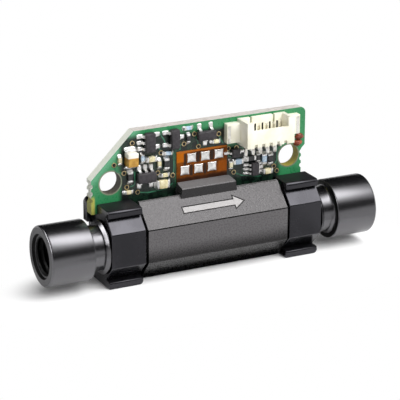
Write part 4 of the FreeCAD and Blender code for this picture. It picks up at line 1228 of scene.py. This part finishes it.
def floorFinish():
    dull = {"Specular IOR Level": 0.0}
    mat, tree, shader = newMaterial("paleFloor", floor["albedo"], floor["rough"], **dull)
    reach = addNode(tree, "ShaderNodeVectorMath", operation="LENGTH")
    feed(tree, reach.inputs[0], stretch(tree, place(tree), (floor["oval"], 1, 1), (0, floor["ahead"], 0)))
    outward = ramp(tree, reach.outputs["Value"], floor["litRadius"], floor["whiteRadius"])
    seen = seenShare(tree)
    feed(tree, shader.inputs["Base Color"], mixed(tree, seen, floor["albedo"], floor["seenAlbedo"]))
    both = addNode(tree, "ShaderNodeMixShader")
    feed(tree, both.inputs["Fac"], times(tree, outward, seen))
    feed(tree, both.inputs[1], shader.outputs[0])
    feed(tree, both.inputs[2], addNode(tree, "ShaderNodeEmission").outputs[0])
    feed(tree, tree.nodes["Material Output"].inputs["Surface"], both.outputs[0])
    return mat


def addFloor():
    half = floor["half"]
    mesh = bpy.data.meshes.new("floor")
    corners = [(-half, -half, 0), (half, -half, 0), (half, half, 0), (-half, half, 0)]
    mesh.from_pydata(corners, [], [(0, 1, 2, 3)])
    mesh.materials.append(floorFinish())
    plane = addObject("floor", mesh)


addFloor()

# World: white where it is seen or mirrored, a dim grey as fill light
world = {"fill": 0.3}


def addWorld():
    sky = bpy.data.worlds.new("studio")
    sky.use_nodes = True
    bpy.context.scene.world = sky
    tree = sky.node_tree
    background = tree.nodes["Background"]
    background.inputs["Color"].default_value = (1, 1, 1, 1)
    feed(tree, background.inputs["Strength"], ramp(tree, seenShare(tree), 0, 1, world["fill"], 1))


addWorld()

# Lights and cards, in metres: a softbox with soft edges above, to the right and in front, a front fill,
# a strip at the left, and cards that show only in the gloss, around and on the floor; the cards under and in
# front of the object paint the floor's shade into reflections
softbox = {"toward": (0.30, -0.334, 0.842), "distance": 0.45, "across": 0.34, "along": 0.5, "power": 3.42,
           "edge": 0.4}
frontFill = {"toward": (0.3, -0.7, 0.68), "distance": 0.5, "across": 0.5, "along": 0.3, "power": 2.3}
sideStrip = {"ends": ((-0.27, 0.22, 0.283), (-0.385, -0.12, 0.088)), "width": 0.09, "power": 1.35}
cards = {"radius": 0.55, "half": 0.8, "steps": 12, "spans": ((3, 34), (95, 172)), "shade": (0.01, 0.01, 0.01),
         "side": ((-0.6, -0.5, 0.0), (-0.6, 0.8, 0.0), (-0.6, 0.8, 0.7), (-0.6, -0.5, 0.7)),
         "under": (-0.0118, 0.0118, -0.0021, 0.006), "behind": (-0.031, -0.02, 0.0105, 0.08),
         "front": (-0.0135, 0.0235, -0.03, -0.0095), "height": 0.0001, "grey": 0.64}


def addLamp(name, across, along, power):
    data = bpy.data.lights.new(name, "AREA")
    data.shape = "RECTANGLE"
    data.size = across
    data.size_y = along
    data.energy = power
    return addObject(name, data)


def addPanel(name, panel):  # lamp that faces the object
    lamp = addLamp(name, panel["across"], panel["along"], panel["power"])
    facing = Vector(panel["toward"]).normalized()
    lamp.location = facing * panel["distance"] + Vector((0, 0, axisHeight))
    lamp.rotation_euler = facing.to_track_quat("Z", "Y").to_euler()
    return lamp


def addSoftbox():
    lamp = addPanel("softbox", softbox)
    lamp.data.use_nodes = True
    tree = lamp.data.node_tree
    across, along, _ = axes(tree, addNode(tree, "ShaderNodeNewGeometry").outputs["Parametric"])
    edge = softbox["edge"] / 2
    glow = [inside(tree, share, edge, 1 - edge, edge) for share in (across, along)]
    feed(tree, tree.nodes["Emission"].inputs["Strength"], times(tree, *glow))


def addFrontFill():
    addPanel("frontFill", frontFill).visible_glossy = False


def addSideStrip():  # draws the bright slash on the collar's bevel
    first, last = (Vector(end) for end in sideStrip["ends"])
    lamp = addLamp("sideStrip", (last - first).length, sideStrip["width"], sideStrip["power"])
    along = (last - first).normalized()
    centre = (first + last) / 2
    away = (centre - along * centre.dot(along)).normalized()
    facing = Matrix((along, away.cross(along), away)).transposed().to_4x4()
    lamp.matrix_world = Matrix.Translation(centre) @ facing
    lamp.visible_diffuse = False


def addCard(name, verts, faces, mat):
    mesh = bpy.data.meshes.new(name)
    mesh.from_pydata(verts, [], faces)
    mesh.materials.append(mat)
    card = addObject(name, mesh)
    card.visible_camera = False
    card.visible_diffuse = False
    card.visible_shadow = False


def greyFinish():  # glows evenly, a dim grey that paints the floor's shade into reflections
    mat = bpy.data.materials.new("greyCard")
    mat.use_nodes = True
    tree = mat.node_tree
    tree.nodes.clear()
    glow = addNode(tree, "ShaderNodeEmission")
    glow.inputs["Strength"].default_value = cards["grey"]
    feed(tree, addNode(tree, "ShaderNodeOutputMaterial").inputs["Surface"], glow.outputs[0])
    return mat


def addArch(name, low, high, mat):  # curved card from one angle over the object to another
    verts = []
    for step in range(cards["steps"] + 1):
        turn = math.radians(low + (high - low) * step / cards["steps"])
        y, z = -cards["radius"] * math.cos(turn), cards["radius"] * math.sin(turn)
        verts += [(-cards["half"], y, z), (cards["half"], y, z)]
    corners = [2 * step for step in range(cards["steps"])]
    addCard(name, verts, [(corner, corner + 1, corner + 3, corner + 2) for corner in corners], mat)


def addCards():
    dark = newMaterial("darkCard", cards["shade"], 1.0, **{"Specular IOR Level": 0.0})[0]
    for number, (low, high) in enumerate(cards["spans"]):
        addArch(f"darkCard{number}", low, high, dark)
    addCard("sideCard", cards["side"], [(0, 1, 2, 3)], dark)
    # painted shade in reflections: a dark card under the body and a dim glowing card in front
    for name, finish in (("under", dark), ("behind", dark), ("front", greyFinish())):
        left, right, near, far = cards[name]
        corners = ((left, near), (right, near), (right, far), (left, far))
        addCard(name + "Card", [(x, y, cards["height"]) for x, y in corners], [(0, 1, 2, 3)], finish)


addSoftbox()
addFrontFill()
addSideStrip()
addCards()
bpy.context.scene.view_settings.view_transform = "Standard"
print("studio lit")
